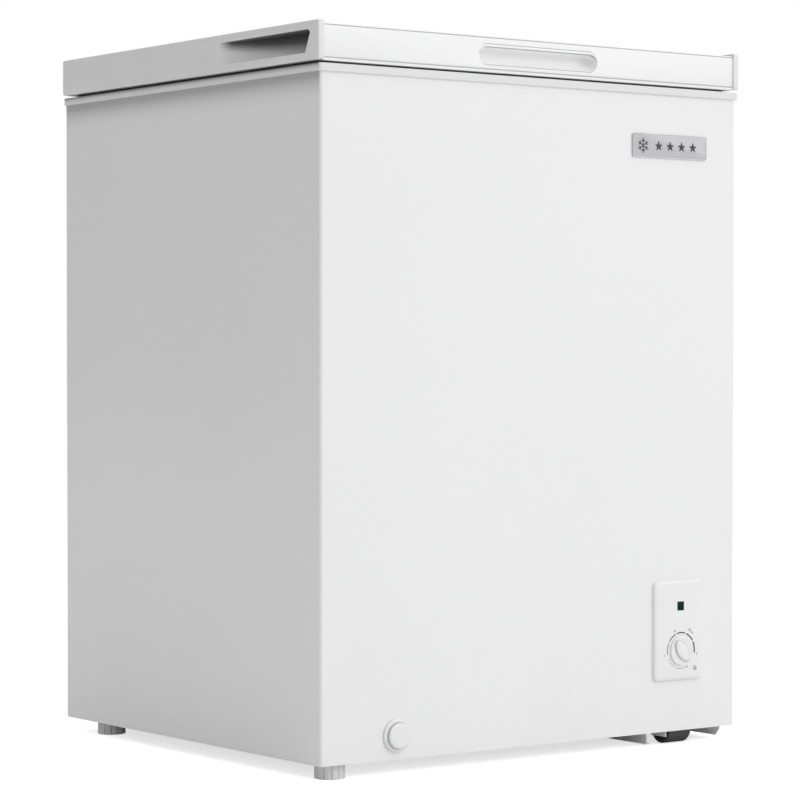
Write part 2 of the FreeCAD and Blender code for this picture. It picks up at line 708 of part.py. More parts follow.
def wiring_harness():
    """Leads in one sleeve from the thermostat to the compressor's terminals."""
    end = dim("pump_y") - dim("pump_radius") - 34
    route = [(238, -238, 140), (238, -190, 140), (238, -150, 60), (238, -60, 60), (238, end - 30, 96),
             (238, end, 96)]
    return tube("wiring_harness", "4", 16, route)


def grille_screw_places():
    return [(x, z) for x in ("bay_left + 10", "half_width - 12") for z in (34, "bay_top - 14")]


def compressor_grille():
    """The slotted cover behind the compressor bay."""
    panel = block("grille_sheet", ("bay_left", "half_width - skin"), (REAR + " - 2 * skin", REAR),
                  ("tray_top", "bay_top"))
    slots = [block(f"grille_slot_{i}", ("bay_left + 24", "half_width - 26"), (REAR + " - 5", REAR + " + 5"),
                   (60 + 17 * i, 67 + 17 * i)) for i in range(12)]
    holes = [rod(f"grille_hole_{i}", "2.2", "8", x, REAR + " - 4", z, TO_REAR) for i,
             (x, z) in enumerate(grille_screw_places())]
    gland = rod("grille_gland", "7", "8", "bay_left + 12", REAR + " - 4", "gland_z", TO_REAR)
    return cut("compressor_grille", panel, gland, *slots, *holes)


def grille_screws():
    screws = []
    for i, (x, z) in enumerate(grille_screw_places()):
        screws.append(fuse(f"grille_screw_{i}",
                           rod(f"grille_shank_{i}", "2.1", "10", x, REAR + " - 10", z, TO_REAR),
                           rod(f"grille_head_{i}", "4.2", "2.2", x, REAR, z, TO_REAR)))
    return group("grille_screws", *screws)


def cord_gland():
    """The bush in the grille where the mains lead comes in."""
    def disc(name, radius, length, start):
        return rod(name, radius, length, "bay_left + 12", f"{REAR} + {start}", "gland_z", TO_REAR)

    bush = fuse("gland_body", disc("gland_neck", "6.9", "10", -7), disc("gland_head", "9.5", "5", 0),
                disc("gland_nut", "9", "4", -6.2))
    return cut("cord_gland", bush, disc("gland_bore", "3.6", "30", -15))


def roller_bracket(name, y):
    """Two cheeks that carry the axle, bridged above the roller and screwed to the tray."""
    deep = about(y, "bracket_half")
    top = "2 * roller_radius + 5"
    bridge = block(f"{name}_bridge", about("roller_x", "cheek_outer"), deep, (top, f"{top} + 2"))
    sheets = [bridge]
    rooms = [rod(f"{name}_bore", "axle_radius + 0.05", "90", "roller_x - 45", y, "roller_radius", TO_RIGHT)]
    for side, cheek, ear, room in (("left", ("roller_x - cheek_outer", "roller_x - cheek_inner"),
                                    "roller_x - cheek_outer - 12", "roller_x - cheek_outer - 20"),
                                   ("right", ("roller_x + cheek_inner", "roller_x + cheek_outer"),
                                    "roller_x + cheek_inner", "roller_x + cheek_outer")):
        sheets.append(block(f"{name}_{side}_cheek", cheek, deep, ("roller_radius - 9", top)))
        sheets.append(block(f"{name}_{side}_ear", (ear, f"{ear} + 14"), deep, ("tray_top", "tray_top + 2")))
        rooms.append(rod(f"{name}_{side}_head_room", "axle_head + 0.5", "20", room, y, "roller_radius",
                         TO_RIGHT))
    return cut(name, fuse(name + "_whole", *sheets), *rooms)


def roller_brackets():
    return group("roller_brackets",
                 *[roller_bracket(f"bracket_{i}", y) for i, y in enumerate(ROLLER_PLACES)])


def roller_axles():
    """Riveted pins with a head at each end."""
    pins = []
    for i, y in enumerate(ROLLER_PLACES):
        pieces = [rod(f"axle_{i}_{end}", radius, length, start, y, "roller_radius", TO_RIGHT) for end,
                  radius, length, start in (
            ("shank", "axle_radius", "2 * cheek_outer + 0.4", "roller_x - cheek_outer - 0.2"),
            ("head", "axle_head", "1.5", "roller_x - cheek_outer - 1.7"),
            ("tail", "axle_head", "1.5", "roller_x + cheek_outer + 0.2"))]
        pins.append(fuse(f"axle_{i}", *pieces))
    return group("roller_axles", *pins)


def roller(name, y):
    """A nylon roller, dished at its sides round the hub."""
    bore = "axle_radius + pin_fit"
    half_outline = ((bore, "roller_half"), (8, "roller_half"), (9, "roller_half - 2"),
                    (14, "roller_half - 2"),
                    (15, "roller_half - 0.3"), ("roller_radius - 1.2", "roller_half - 0.3"),
                    ("roller_radius", "roller_half - 1.5"))
    other_half = tuple((radius, f"-({place})") for radius, place in reversed(half_outline))
    return move(turned(name, half_outline + other_half), "roller_x", y, "roller_radius", TO_RIGHT)


# ---- feet

def foot(name, y):
    """A ribbed levelling foot moulded on a threaded stud."""
    top = "foot_height"
    body = turned(name, ((0, 0), ("foot_radius - soft", 0), ("foot_radius", "soft"),
                         ("foot_radius", f"{top} - soft"),
                         ("foot_radius - soft", top), ("stud_radius", top),
                         ("stud_radius", f"{top} + stud_length"),
                         (0, f"{top} + stud_length")))
    sketch = attached_sketch(body, name + "_groove_outline", "XY_Plane")
    middle = Vector(dim("foot_radius") + 0.4, 0, 0)
    sketch.addGeometry(Part.Circle(middle, Vector(0, 0, 1), dim("groove_radius")), False)
    groove = body.newObject("PartDesign::Pocket", name + "_groove")
    groove.Profile = sketch
    groove.Reversed = True
    bind(groove, Length=f"{top} - 2.5")
    ribs = body.newObject("PartDesign::PolarPattern", name + "_ribs")
    ribs.Originals = [groove]
    ribs.Axis = (origin_feature(body, "Z_Axis"), [""])
    ribs.Angle = 360
    ribs.Occurrences = 16
    body.Tip = ribs
    return move(body, "foot_x", y, 0)


# ---- front fittings

BEZEL_FACE = "-half_depth - bezel_thick"


def control_bezel():
    """The thermostat's panel: a soft-edged plate with a rim that drops into the cabinet's front."""
    x = about("bezel_x", "bezel_half_width")
    z = about("bezel_z", "bezel_half_height")
    plate = prism("bezel_plate", "XZ_Plane", ((x[0], z[0]), (x[1], z[0]), (x[1], z[1]), (x[0], z[1])),
                  BEZEL_FACE, FRONT)
    plate = soften(plate, "bezel_corners", "corner_radius", lambda e: along("y", e))
    front = 0.1 - dim("bezel_thick")
    plate = soften(plate, "bezel_edges", "bezel_edge",
                   lambda e: e.BoundBox.YMax < front and e.BoundBox.YLength < 0.01)
    tray = block("bezel_tray", about("bezel_x", "bezel_half_width - 7"), (FRONT, FRONT + " + 12"),
                 about("bezel_z", "bezel_half_height - 7"))
    hollow = block("bezel_hollow", about("bezel_x", "bezel_half_width - 7 - bezel_wall"),
                   (FRONT + " - 2", FRONT + " + 13"),
                   about("bezel_z", "bezel_half_height - 7 - bezel_wall"))
    shaft = rod("bezel_shaft_hole", "shaft_radius + pin_fit", "20", "dial_x", FRONT + " - 15", "dial_z",
                TO_REAR)
    window = block("bezel_window", about("lamp_x", "lamp_half"), (FRONT + " - 15", FRONT + " + 5"),
                   about("lamp_z", "lamp_half"))
    return cut("control_bezel", fuse("bezel_body", plate, tray), hollow, shaft, window)


def indicator_lens():
    lens = block("lens_window", about("lamp_x", "lamp_half - 0.1"),
                 (BEZEL_FACE + " + 0.4", FRONT + " - skin"),
                 about("lamp_z", "lamp_half - 0.1"))
    flange = block("lens_flange", about("lamp_x", "lamp_half + 1.5"),
                   (FRONT + " - 2 * skin", FRONT + " - skin"),
                   about("lamp_z", "lamp_half + 1.5"))
    return fuse("indicator_lens", lens, flange)


def indicator_lamp():
    """The lamp and its holder behind the lens."""
    holder = rod("lamp_holder", "6", "16", "lamp_x", FRONT + " - 0.9", "lamp_z", TO_REAR)
    blades = [block(f"lamp_blade_{i}", about(f"lamp_x + {x}", 0.5), (FRONT + " + 15", FRONT + " + 24"),
                    about("lamp_z", 2.5))
              for i, x in enumerate((-3.5, 3.5))]
    return fuse("indicator_lamp", holder, *blades)


def thermostat_body():
    """The switch behind the bezel, with its sensing bellows and terminals."""
    back = FRONT + " + 36"
    case = block("thermostat_case", about("dial_x", 18), (FRONT + " + 0.2", back),
                 ("dial_z - 20", "dial_z + 22"))
    case = rounded("thermostat_soft", case, dim("corner_radius"), lambda e: along("y", e))
    nose = rod("thermostat_nose", "5", "2.4", "dial_x", FRONT + " - 1.9", "dial_z", TO_REAR)
    bellows = rod("thermostat_bellows", "12", "6", "dial_x", back, "dial_z", TO_REAR)
    blades = [block(f"thermostat_blade_{i}", about(f"dial_x + {x}", 0.4),
                    (FRONT + " + 10", FRONT + " + 30"), ("dial_z + 22", "dial_z + 31"))
              for i, x in enumerate((-12, -4, 4, 12))]
    bore = rod("thermostat_bore", "shaft_radius + pin_fit", "16", "dial_x", FRONT + " - 4", "dial_z",
               TO_REAR)
    return cut("thermostat_body", fuse("thermostat_whole", case, nose, bellows, *blades), bore)


def thermostat_sensor():
    """The sealed tube that runs from the thermostat through the ceiling to the tub's wall."""
    z = dim("dial_z")
    route = [(232, -239.9, z), (232, -222, z), (232, -222, 200), (170, -190, 230),
             (170, -190, dim("bay_top"))]
    return tube("thermostat_sensor", "1.5", 12, route)


def thermostat_knob():
    """A low disc with a raised lens-shaped grip and a shaft."""
    face = BEZEL_FACE + " - 0.3"
    disc = rod("knob_plate", "knob_radius", "knob_disc", "dial_x", f"{face} - knob_disc", "dial_z", TO_REAR)
    disc = rounded("knob_plate_soft", disc, dim("soft"),
                   lambda e: e.Length > 50 and e.BoundBox.YMax < dim("knob_front") + 9)
    sides = []
    for side in SIDES:
        reach = f"{side} * (blade_radius - blade_half)"
        sides.append(rod(f"knob_side_{side}", "blade_radius", "40", f"dial_x + {reach} * cos(blade_lean)",
                         "knob_front",
                         f"dial_z + {reach} * sin(blade_lean)", TO_REAR))
    bound = rod("knob_bound", "knob_radius - 0.5", f"-knob_front + ({face}) - knob_disc + 0.6", "dial_x",
                "knob_front", "dial_z", TO_REAR)
    shaft = rod("knob_shaft", "shaft_radius", "16", "dial_x", face, "dial_z", TO_REAR)
    return fuse("thermostat_knob", disc, common("knob_blade", *sides, bound), shaft)


def badge_plate():
    plate = block("badge_sheet", about("badge_x", "badge_half_width"), (FRONT + " - badge_thick", FRONT),
                  about("badge_z", "badge_half_height"))
    return rounded("badge_plate", plate, dim("badge_corner"), lambda e: along("y", e))


def drain_cap():
    """A round cap with a raised middle and a hollow spigot that plugs the front of the drain pipe."""
    spigot = "drain_bore - pin_fit"
    body = turned("drain_cap",
                  ((0, 8), (12.5, 8), (14.5, 6.5), (14.5, 4.5), ("drain_cap_radius - soft", 4.5),
                                ("drain_cap_radius", 3.5), ("drain_cap_radius", 0.2), (spigot, 0.2),
                   (spigot, -14),
                                ("drain_bore - 2", -14), ("drain_bore - 2", 4), (0, 4)))
    return move(body, "drain_x", FRONT, "drain_z", TO_FRONT)


def drain_plug():
    """The stopper in the tub's floor."""
    body = turned("drain_plug", ((0, 4), (13, 4), (14, 3), (14, 0.2), ("drain_bore - pin_fit", 0.2),
                                 ("drain_bore - 0.8", -12), (0, -12)))
    return move(body, "drain_x", "drain_y", "tub_floor")


def wire_basket():
    """An open basket of upright bars that hangs by its rim on the collar's ledges."""
    outer = block("basket_block", ("basket_left", "basket_right"), both("basket_half"),
                  ("basket_bottom", "basket_top"))
    inner = block("basket_room", ("basket_left + wire", "basket_right - wire"), both("basket_half - wire"),
                  ("basket_bottom + wire", f"basket_top + {NUDGE}"))
    corner = dim("tub_corner")
    gaps = []
    upright_gap = ("basket_bottom + 6 * wire", "basket_top - 3.5 * wire")
    floor_gap = (f"basket_bottom - {NUDGE}", f"basket_bottom + wire + {NUDGE}")
    for i in range(-7, 8):
        y = about(f"basket_pitch * {i}", "basket_gap_half")
        gaps.append(block(f"basket_side_gap_{i}", (f"basket_left - {NUDGE}", f"basket_right + {NUDGE}"), y,
                          upright_gap))
    for i in range(-3, 4):
        x = about(f"(basket_left + basket_right) / 2 + basket_pitch * {i}", "basket_gap_half")
        gaps.append(block(f"basket_end_gap_{i}", x, both(f"basket_half + {NUDGE}"), upright_gap))
        for j in range(4):
            gaps.append(block(f"basket_floor_gap_{i}_{j}", x, (-180 + 92 * j, -96 + 92 * j), floor_gap))
    shell = cut("basket_shell", rounded("basket_outer", outer, corner, upright),
                rounded("basket_inner", inner, corner, upright), *gaps)
    edge = "half_depth - collar_lip - 2"
    hook_z = ("ledge_height + gasket_gap", "ledge_height + gasket_gap + wire")
    hooks = [block(f"basket_hook_{i}", ("basket_left + 40", "basket_right - 40"), y, hook_z)
             for i, y in enumerate(((f"-({edge})", "-basket_half + 0.5"), ("basket_half - 0.5", edge)))]
    return fuse("wire_basket", shell, *hooks)


# ---- lid

LID_FRONT = "-half_depth - lid_front"
LID_REAR = "half_depth + lid_rear"
LID_EDGE = "half_width + lid_side"
CAP_FACE = f"{LID_EDGE} - cap_width"
CAP_INNER = f"{LID_EDGE} - cap_depth"
LINED = "lid_bottom + lining"
PANEL_UNDER = "panel_top - skin"


def lid_end_cap(name, side):
    """A deep plastic end moulding with a finger grip that runs out downwards and towards the rear."""
    def across(low, high):
        return (low, high) if side > 0 else (f"-({high})", f"-({low})")

    def mirrored(points):
        return points if side > 0 else tuple((f"-({x})", other) for x, other in reversed(points))

    face = block(name + "_face", across(CAP_FACE, LID_EDGE), (LID_FRONT, LID_REAR),
                 ("lid_bottom", "height"))
    face = rounded(name + "_soft", face, dim("soft"),
                   lambda e: upright(e) or e.BoundBox.Center.x * side > dim("half_width"))
    core = block(name + "_core", across(CAP_INNER, CAP_FACE), both("half_depth - panel_wall"),
                 (LINED, PANEL_UNDER))
    outside = f"{LID_EDGE} + {NUDGE}"
    deepest = f"{LID_EDGE} - grip_depth"
    plan = prism(name + "_plan", "XY_Plane", mirrored((
        (outside, f"grip_front - {NUDGE}"), (deepest, "grip_front + 6"), (deepest, "grip_front + 40"),
        (f"{LID_EDGE} - grip_depth / 2", "grip_front + 110"), (LID_EDGE, "grip_rear"),
        (outside, "grip_rear"))),
        "grip_bottom", "grip_top")
    section = prism(name + "_section", "XZ_Plane", mirrored((
        (outside, "grip_bottom"), (LID_EDGE, "grip_bottom"), (deepest, "grip_top - 8"),
        (deepest, "grip_top"), (outside, "grip_top"))),
        f"grip_front - {NUDGE}", "grip_rear")
    view = prism(name + "_view", "YZ_Plane", (
        ("grip_front + grip_slant", "grip_bottom"), ("grip_rear", "grip_bottom"), ("grip_rear", "grip_top"),
        ("grip_front", "grip_top")),
        *across("half_width - cap_depth", outside))
    return cut(name, fuse(name + "_whole", face, core), common(name + "_grip", plan, section, view))


def pocket_outline(name, grow, front, rear):
    """The handle pocket's long round-ended block, grown by a distance."""
    solid = block(name + "_block", both(f"pocket_half_length + {grow}"), (front, rear),
                  (f"pocket_bottom - {grow}", f"pocket_top + {grow}"))
    radius = (dim("pocket_top") - dim("pocket_bottom")) / 2 + grow - 0.02
    return rounded(name, solid, radius, lambda e: along("y", e))


def lid_front_panel():
    """The lid's plastic front with a moulded handle pocket, deepest under its top edge."""
    wall = block("front_wall", both(CAP_FACE), (FRONT, FRONT + " + panel_wall"),
                 ("lid_bottom", "panel_top"))
    wall = rounded("front_wall_soft", wall, 2 * dim("soft"),
                   lambda e: along("x", e) and e.BoundBox.ZMin > dim("height") - 10
                   and e.BoundBox.YMax < 0.5 - dim("half_depth"))
    shelf = block("front_shelf", both(CAP_INNER), (FRONT + " + panel_wall", FRONT + " + shelf_depth"),
                  (LINED, LINED + " + 2"))
    cup = pocket_outline("pocket_cup", 2, FRONT + " + panel_wall - 0.5", FRONT + " + pocket_depth + 2")
    scoop = prism("pocket_scoop", "YZ_Plane", (
        (FRONT + " - 1", "pocket_bottom - 0.2"), (FRONT + " + 5", "pocket_bottom + 1"),
        (FRONT + " + 12", "pocket_bottom + 6"),
        (FRONT + " + pocket_depth", "pocket_bottom + 15"), (FRONT + " + pocket_depth", "pocket_top + 1"),
        (FRONT + " - 1", "pocket_top + 1")),
        *both("pocket_half_length + 5"))
    room = common("pocket_room", pocket_outline("pocket_mouth", 0, FRONT + " - 2", FRONT + " + 40"), scoop)
    groove = block("front_groove", both(f"{LID_EDGE}"), (FRONT + " - 1", FRONT + " + 0.6"),
                   ("lip_height", "lip_height + 2"))
    return cut("lid_front_panel", fuse("front_whole", wall, shelf, cup), room, groove)


def lid_top_panel():
    """The painted sheet on top."""
    return block("lid_top_panel", both(CAP_FACE), (FRONT + " + panel_wall", REAR),
                 (PANEL_UNDER, "panel_top"))


def lid_rear_strip():
    """The plastic strip along the lid's back."""
    wall = block("strip_wall", both(CAP_FACE), (REAR, LID_REAR), ("lid_bottom", "panel_top"))
    shelf = block("strip_shelf", both(CAP_INNER), (REAR + " - shelf_depth", REAR), (LINED, LINED + " + 2"))
    return fuse("lid_rear_strip", wall, shelf)


def lid_foam():
    """The lid's insulation, less the handle pocket and the two shelves that it rests on."""
    foam = block("lid_foam_block", both(CAP_INNER), (FRONT + " + panel_wall", REAR), (LINED, PANEL_UNDER))
    pocket = pocket_outline("lid_foam_pocket", 2, FRONT + " - 1", FRONT + " + pocket_depth + 2")
    shelves = [block(f"lid_foam_shelf_{i}", both(CAP_INNER), y, ("lid_bottom", LINED + " + 2"))
               for i, y in enumerate(((FRONT, FRONT + " + shelf_depth"),
                                      (REAR + " - shelf_depth", REAR + " + 1")))]
    return cut("lid_foam", foam, pocket, *shelves)


def lid_inner_liner():
    """The vacuum-formed lining, bulging into the tub's mouth inside the gasket."""
    flange = block("lining_flange", both("half_width - lid_side"), both("half_depth - 5"),
                   ("lid_bottom", LINED))
    bulge = block("lining_bulge", both("half_width - collar_lip - bulge_inset"),
                  both("half_depth - collar_lip - bulge_inset"),
                  ("lid_bottom - bulge_drop", "lid_bottom + 0.5"))
    return fuse("lid_inner_liner", flange, rounded("lining_bulge_soft", bulge, dim("tub_corner"), upright))


def lid_gasket():
    """The magnetic seal round the lid's underside."""
    def inside(edge):
        return (both(f"{LID_EDGE} - ({edge})"), (f"{LID_FRONT} + {edge}", f"{LID_REAR} - ({edge})"))

    return frame_ring("lid_gasket", inside("gasket_inset"), inside("gasket_inset + gasket_width"),
                      ("collar_top + gasket_gap", "lid_bottom"), "corner_radius", "corner_radius")


# ---- hinges

SPRING_Y = "hinge_pin_y + 0.5"
SPRING_BOTTOM = 676


def at_hinges(make):
    """Both copies of a hinge piece; make gets a number and the hinge's middle."""
    return [make(i, f"{side} * hinge_x") for i, side in enumerate(SIDES)]


def pin_bore(name, x, grow):
    return rod(name, f"hinge_pin_radius + {grow}", "60", f"{x} - 30", "hinge_pin_y", "hinge_pin_z",
               TO_RIGHT)


def hinge_housings():
    """Pressed channels on the back with two ears that hold the pin."""
    def housing(i, x):
        shell = block(f"housing_shell_{i}", about(x, "housing_half"), (REAR, "hinge_rear"), (668, 790))
        room = block(f"housing_room_{i}", about(x, "housing_half - housing_wall"),
                     (REAR + " + housing_wall", f"hinge_rear + {NUDGE}"), (669.5, 788.5))
        ears = []
        for k, side in enumerate(SIDES):
            sheet_x = f"{x} + {side} * (housing_half - housing_wall / 2)"
            ears.append(block(f"housing_ear_{i}_{k}", about(sheet_x, "housing_wall / 2"),
                              ("hinge_pin_y - ear_radius", "hinge_pin_y + ear_radius"),
                              (788, "hinge_pin_z")))
            ears.append(rod(f"housing_eye_{i}_{k}", "ear_radius", "housing_wall",
                            f"{sheet_x} - housing_wall / 2",
                            "hinge_pin_y", "hinge_pin_z", TO_RIGHT))
        leaf = block(f"housing_leaf_{i}", about(x, 27), (REAR, REAR + " + housing_wall"),
                     (SPRING_BOTTOM, 782))
        channel = cut(f"housing_channel_{i}", shell, room)
        return cut(f"housing_{i}", fuse(f"housing_whole_{i}", channel, leaf, *ears),
                   pin_bore(f"housing_bore_{i}", x, 0.05))

    return cut("hinge_housings", group("housing_pair", *at_hinges(housing)), *screw_bores("housing_screw"))


def hinge_screw_places():
    return [(f"{side} * hinge_x + {shift}", z) for side in SIDES for shift in (-22, 22) for z in (690, 768)]


def screw_bores(name):
    """Room for the hinge screws in whatever they pass through."""
    return [rod(f"{name}_{i}", "2.05", "20", x, REAR + " - 8.1", z, TO_REAR) for i,
            (x, z) in enumerate(hinge_screw_places())]


def hinge_screws():
    screws = []
    for i, (x, z) in enumerate(hinge_screw_places()):
        screws.append(fuse(f"hinge_screw_{i}",
                           rod(f"hinge_screw_shank_{i}", "2", "10", x, REAR + " - 8", z, TO_REAR),
                           rod(f"hinge_screw_head_{i}", "4", "2.2", x, REAR + " + housing_wall", z,
                               TO_REAR)))
    return group("hinge_screws", *screws)


def hinge_springs():
    """Counterbalance springs, each round a guide inside its housing."""
    radius = 4.6

    def spring(i, x):
        helix = bind(doc.addObject("Part::Helix", f"spring_path_{i}"), Pitch="6", Height="96",
                     Radius=radius)
        wire = bind(doc.addObject("Part::Circle", f"spring_wire_{i}"), Radius="0.9")
        wire.Placement = Placement(Vector(radius, 0, 0), TO_FRONT)
        coil = doc.addObject("Part::Sweep", f"spring_{i}")
        coil.Sections = [wire]
        coil.Spine = (helix, [])
        coil.Solid = True
        coil.Frenet = True
        return move(coil, x, SPRING_Y, SPRING_BOTTOM)

    return group("hinge_springs", *at_hinges(spring))


def hinge_spring_guides():
    """Rods down the springs' middles with a cup at the top."""
    def guide(i, x):
        return fuse(f"guide_{i}", rod(f"guide_rod_{i}", "2.6", "112", x, SPRING_Y, 669.6),
                    rod(f"guide_cup_{i}", "6", "6", x, SPRING_Y, 775))

    return group("hinge_spring_guides", *at_hinges(guide))


def hinge_pins():
    def pin(i, x):
        return fuse(f"pin_{i}", rod(f"pin_shank_{i}", "hinge_pin_radius", "38", f"{x} - 19", "hinge_pin_y",
                                    "hinge_pin_z", TO_RIGHT),
                    rod(f"pin_head_{i}", "4", "1.6", f"{x} - 19", "hinge_pin_y", "hinge_pin_z", TO_RIGHT))

    return group("hinge_pins", *at_hinges(pin))


def hinge_arms():
    """Plates screwed to the lid's back, each rolled round its pin."""
    def arm(i, x):
        plate = block(f"arm_plate_{i}", about(x, 14), (LID_REAR, LID_REAR + " + 2"), (808, 842))
        barrel = rod(f"arm_barrel_{i}", "5", "30", f"{x} - 15", "hinge_pin_y", "hinge_pin_z", TO_RIGHT)
        web = block(f"arm_web_{i}", about(x, 14), (LID_REAR, "hinge_pin_y + 2"), (805, 809))
        return cut(f"arm_{i}", fuse(f"arm_whole_{i}", plate, barrel, web),
                   pin_bore(f"arm_bore_{i}", x, "pin_fit"))

    return group("hinge_arms", *at_hinges(arm))


def arm_screws():
    """Rivet heads that hold the plates to the lid."""
    places = [(f"{side} * hinge_x + {shift}", z) for side in SIDES for shift in (-8, 8) for z in (820, 834)]
    return group("arm_screws", *[rod(f"arm_screw_{i}", "3.6", "2", x, LID_REAR + " + 2", z, TO_REAR) for i,
                                 (x, z) in enumerate(places)])


# ---- assembly

def build():
    """Every sub-part, in one list."""
    cold, warm, sockets = evaporator_tube(), condenser_tube(), foot_sockets()
    stud_room = [rod(f"foam_stud_{i}", "stud_radius + stud_fit", "40", "foot_x", y, "foot_height") for i,
                 y in enumerate(FOOT_PLACES)]
    foam = cabinet_foam(cold, warm, sockets, drain_elbow("foam_drain", "tub_floor"), *stud_room,
                        *screw_bores("foam_screw"))
    cabinet = [cabinet_wrapper(), rear_panel(), bottom_panel(), compressor_base_tray(), foam, inner_liner(),
               top_frame()]
    buried = [cold, warm, drain_pipe(), sockets]
    bay = [compressor_shell(), compressor_motor(), compressor_grommets(), compressor_bolts(),
           terminal_cover(),
           discharge_pipe(), suction_pipe(), filter_drier(), capillary_tube(), wiring_harness(),
           compressor_grille(),
           grille_screws(), cord_gland()]
    running_gear = [roller_brackets(), roller_axles(), roller("front_roller", "roller_front_y"),
                    roller("rear_roller", "roller_rear_y"), foot("front_foot", "foot_front_y"),
                    foot("rear_foot", "foot_rear_y")]
    fittings = [control_bezel(), indicator_lens(), indicator_lamp(), thermostat_body(), thermostat_sensor(),
                thermostat_knob(), badge_plate(), drain_cap(), drain_plug(), wire_basket()]
    lid = [lid_end_cap("lid_left_end_cap", -1), lid_end_cap("lid_right_end_cap", 1), lid_front_panel(),
           lid_top_panel(),
           lid_rear_strip(), lid_foam(), lid_inner_liner(), lid_gasket()]
    hinges = [hinge_housings(), hinge_screws(), hinge_springs(), hinge_spring_guides(), hinge_pins(),
              hinge_arms(), arm_screws()]
    return cabinet + buried + bay + running_gear + fittings + lid + hinges


def main():
    nodes = build()
    doc.recompute()
    failed = [thing.Label for thing in doc.Objects if {"Invalid", "Error"} & set(thing.State)]
    if failed:
        raise RuntimeError("objects that did not compute: " + ", ".join(failed))
    for node in nodes:
        if node.Shape.isNull() or not node.Shape.isValid() or not node.Shape.Solids:
            raise RuntimeError(f"{node.Label} has no valid solid")
    os.makedirs("parts", exist_ok=True)
    for node in nodes:
        node.Shape.exportStep(f"parts/{node.Label}.step")
        print(f"{node.Label}: {len(node.Shape.Solids)} solids, {node.Shape.Volume / 1000:.1f} cm3")


main()
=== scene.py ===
"""The looks of a small chest freezer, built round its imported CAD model.

Lengths are in metres in the CAD's frame: +X to the right, +Y to the back, +Z up, with the floor at 0.
"""
import math

import bmesh
import bpy
from mathutils import Matrix, Vector


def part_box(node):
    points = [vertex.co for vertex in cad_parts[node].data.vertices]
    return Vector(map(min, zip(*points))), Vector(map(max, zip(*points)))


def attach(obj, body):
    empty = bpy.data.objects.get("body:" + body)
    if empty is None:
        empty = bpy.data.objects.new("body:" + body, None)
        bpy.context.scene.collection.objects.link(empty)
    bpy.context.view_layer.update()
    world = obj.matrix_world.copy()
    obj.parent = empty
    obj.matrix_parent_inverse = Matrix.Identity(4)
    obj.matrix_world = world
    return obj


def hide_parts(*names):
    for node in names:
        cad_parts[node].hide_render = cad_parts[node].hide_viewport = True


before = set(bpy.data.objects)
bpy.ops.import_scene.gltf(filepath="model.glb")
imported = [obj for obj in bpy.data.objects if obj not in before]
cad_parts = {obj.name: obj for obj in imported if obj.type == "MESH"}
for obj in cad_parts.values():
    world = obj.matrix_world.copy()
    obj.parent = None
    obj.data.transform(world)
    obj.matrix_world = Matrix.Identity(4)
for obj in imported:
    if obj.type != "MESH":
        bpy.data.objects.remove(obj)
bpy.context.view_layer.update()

MM = 0.001
SIDES = (-1, 1)
FULL_TURN = 2 * math.pi


# ---- finishes

class Nodes:
    """Adds nodes to a tree, and links or sets their inputs."""

    def __init__(self, tree):
        self.tree = tree

    def add(self, kind, inputs=None, **settings):
        """A new node with those inputs, by name or number, each a value or another node's output."""
        node = self.tree.nodes.new(kind)
        for name, value in settings.items():
            setattr(node, name, value)
        for name, value in (inputs or {}).items():
            self.feed(node.inputs[name], value)
        return node

    def feed(self, socket, value):
        if isinstance(value, bpy.types.NodeSocket):
            self.tree.links.new(value, socket)
        else:
            socket.default_value = value

    def maths(self, first, second, operation="ADD"):
        return self.add("ShaderNodeMath", {0: first, 1: second}, operation=operation).outputs["Value"]


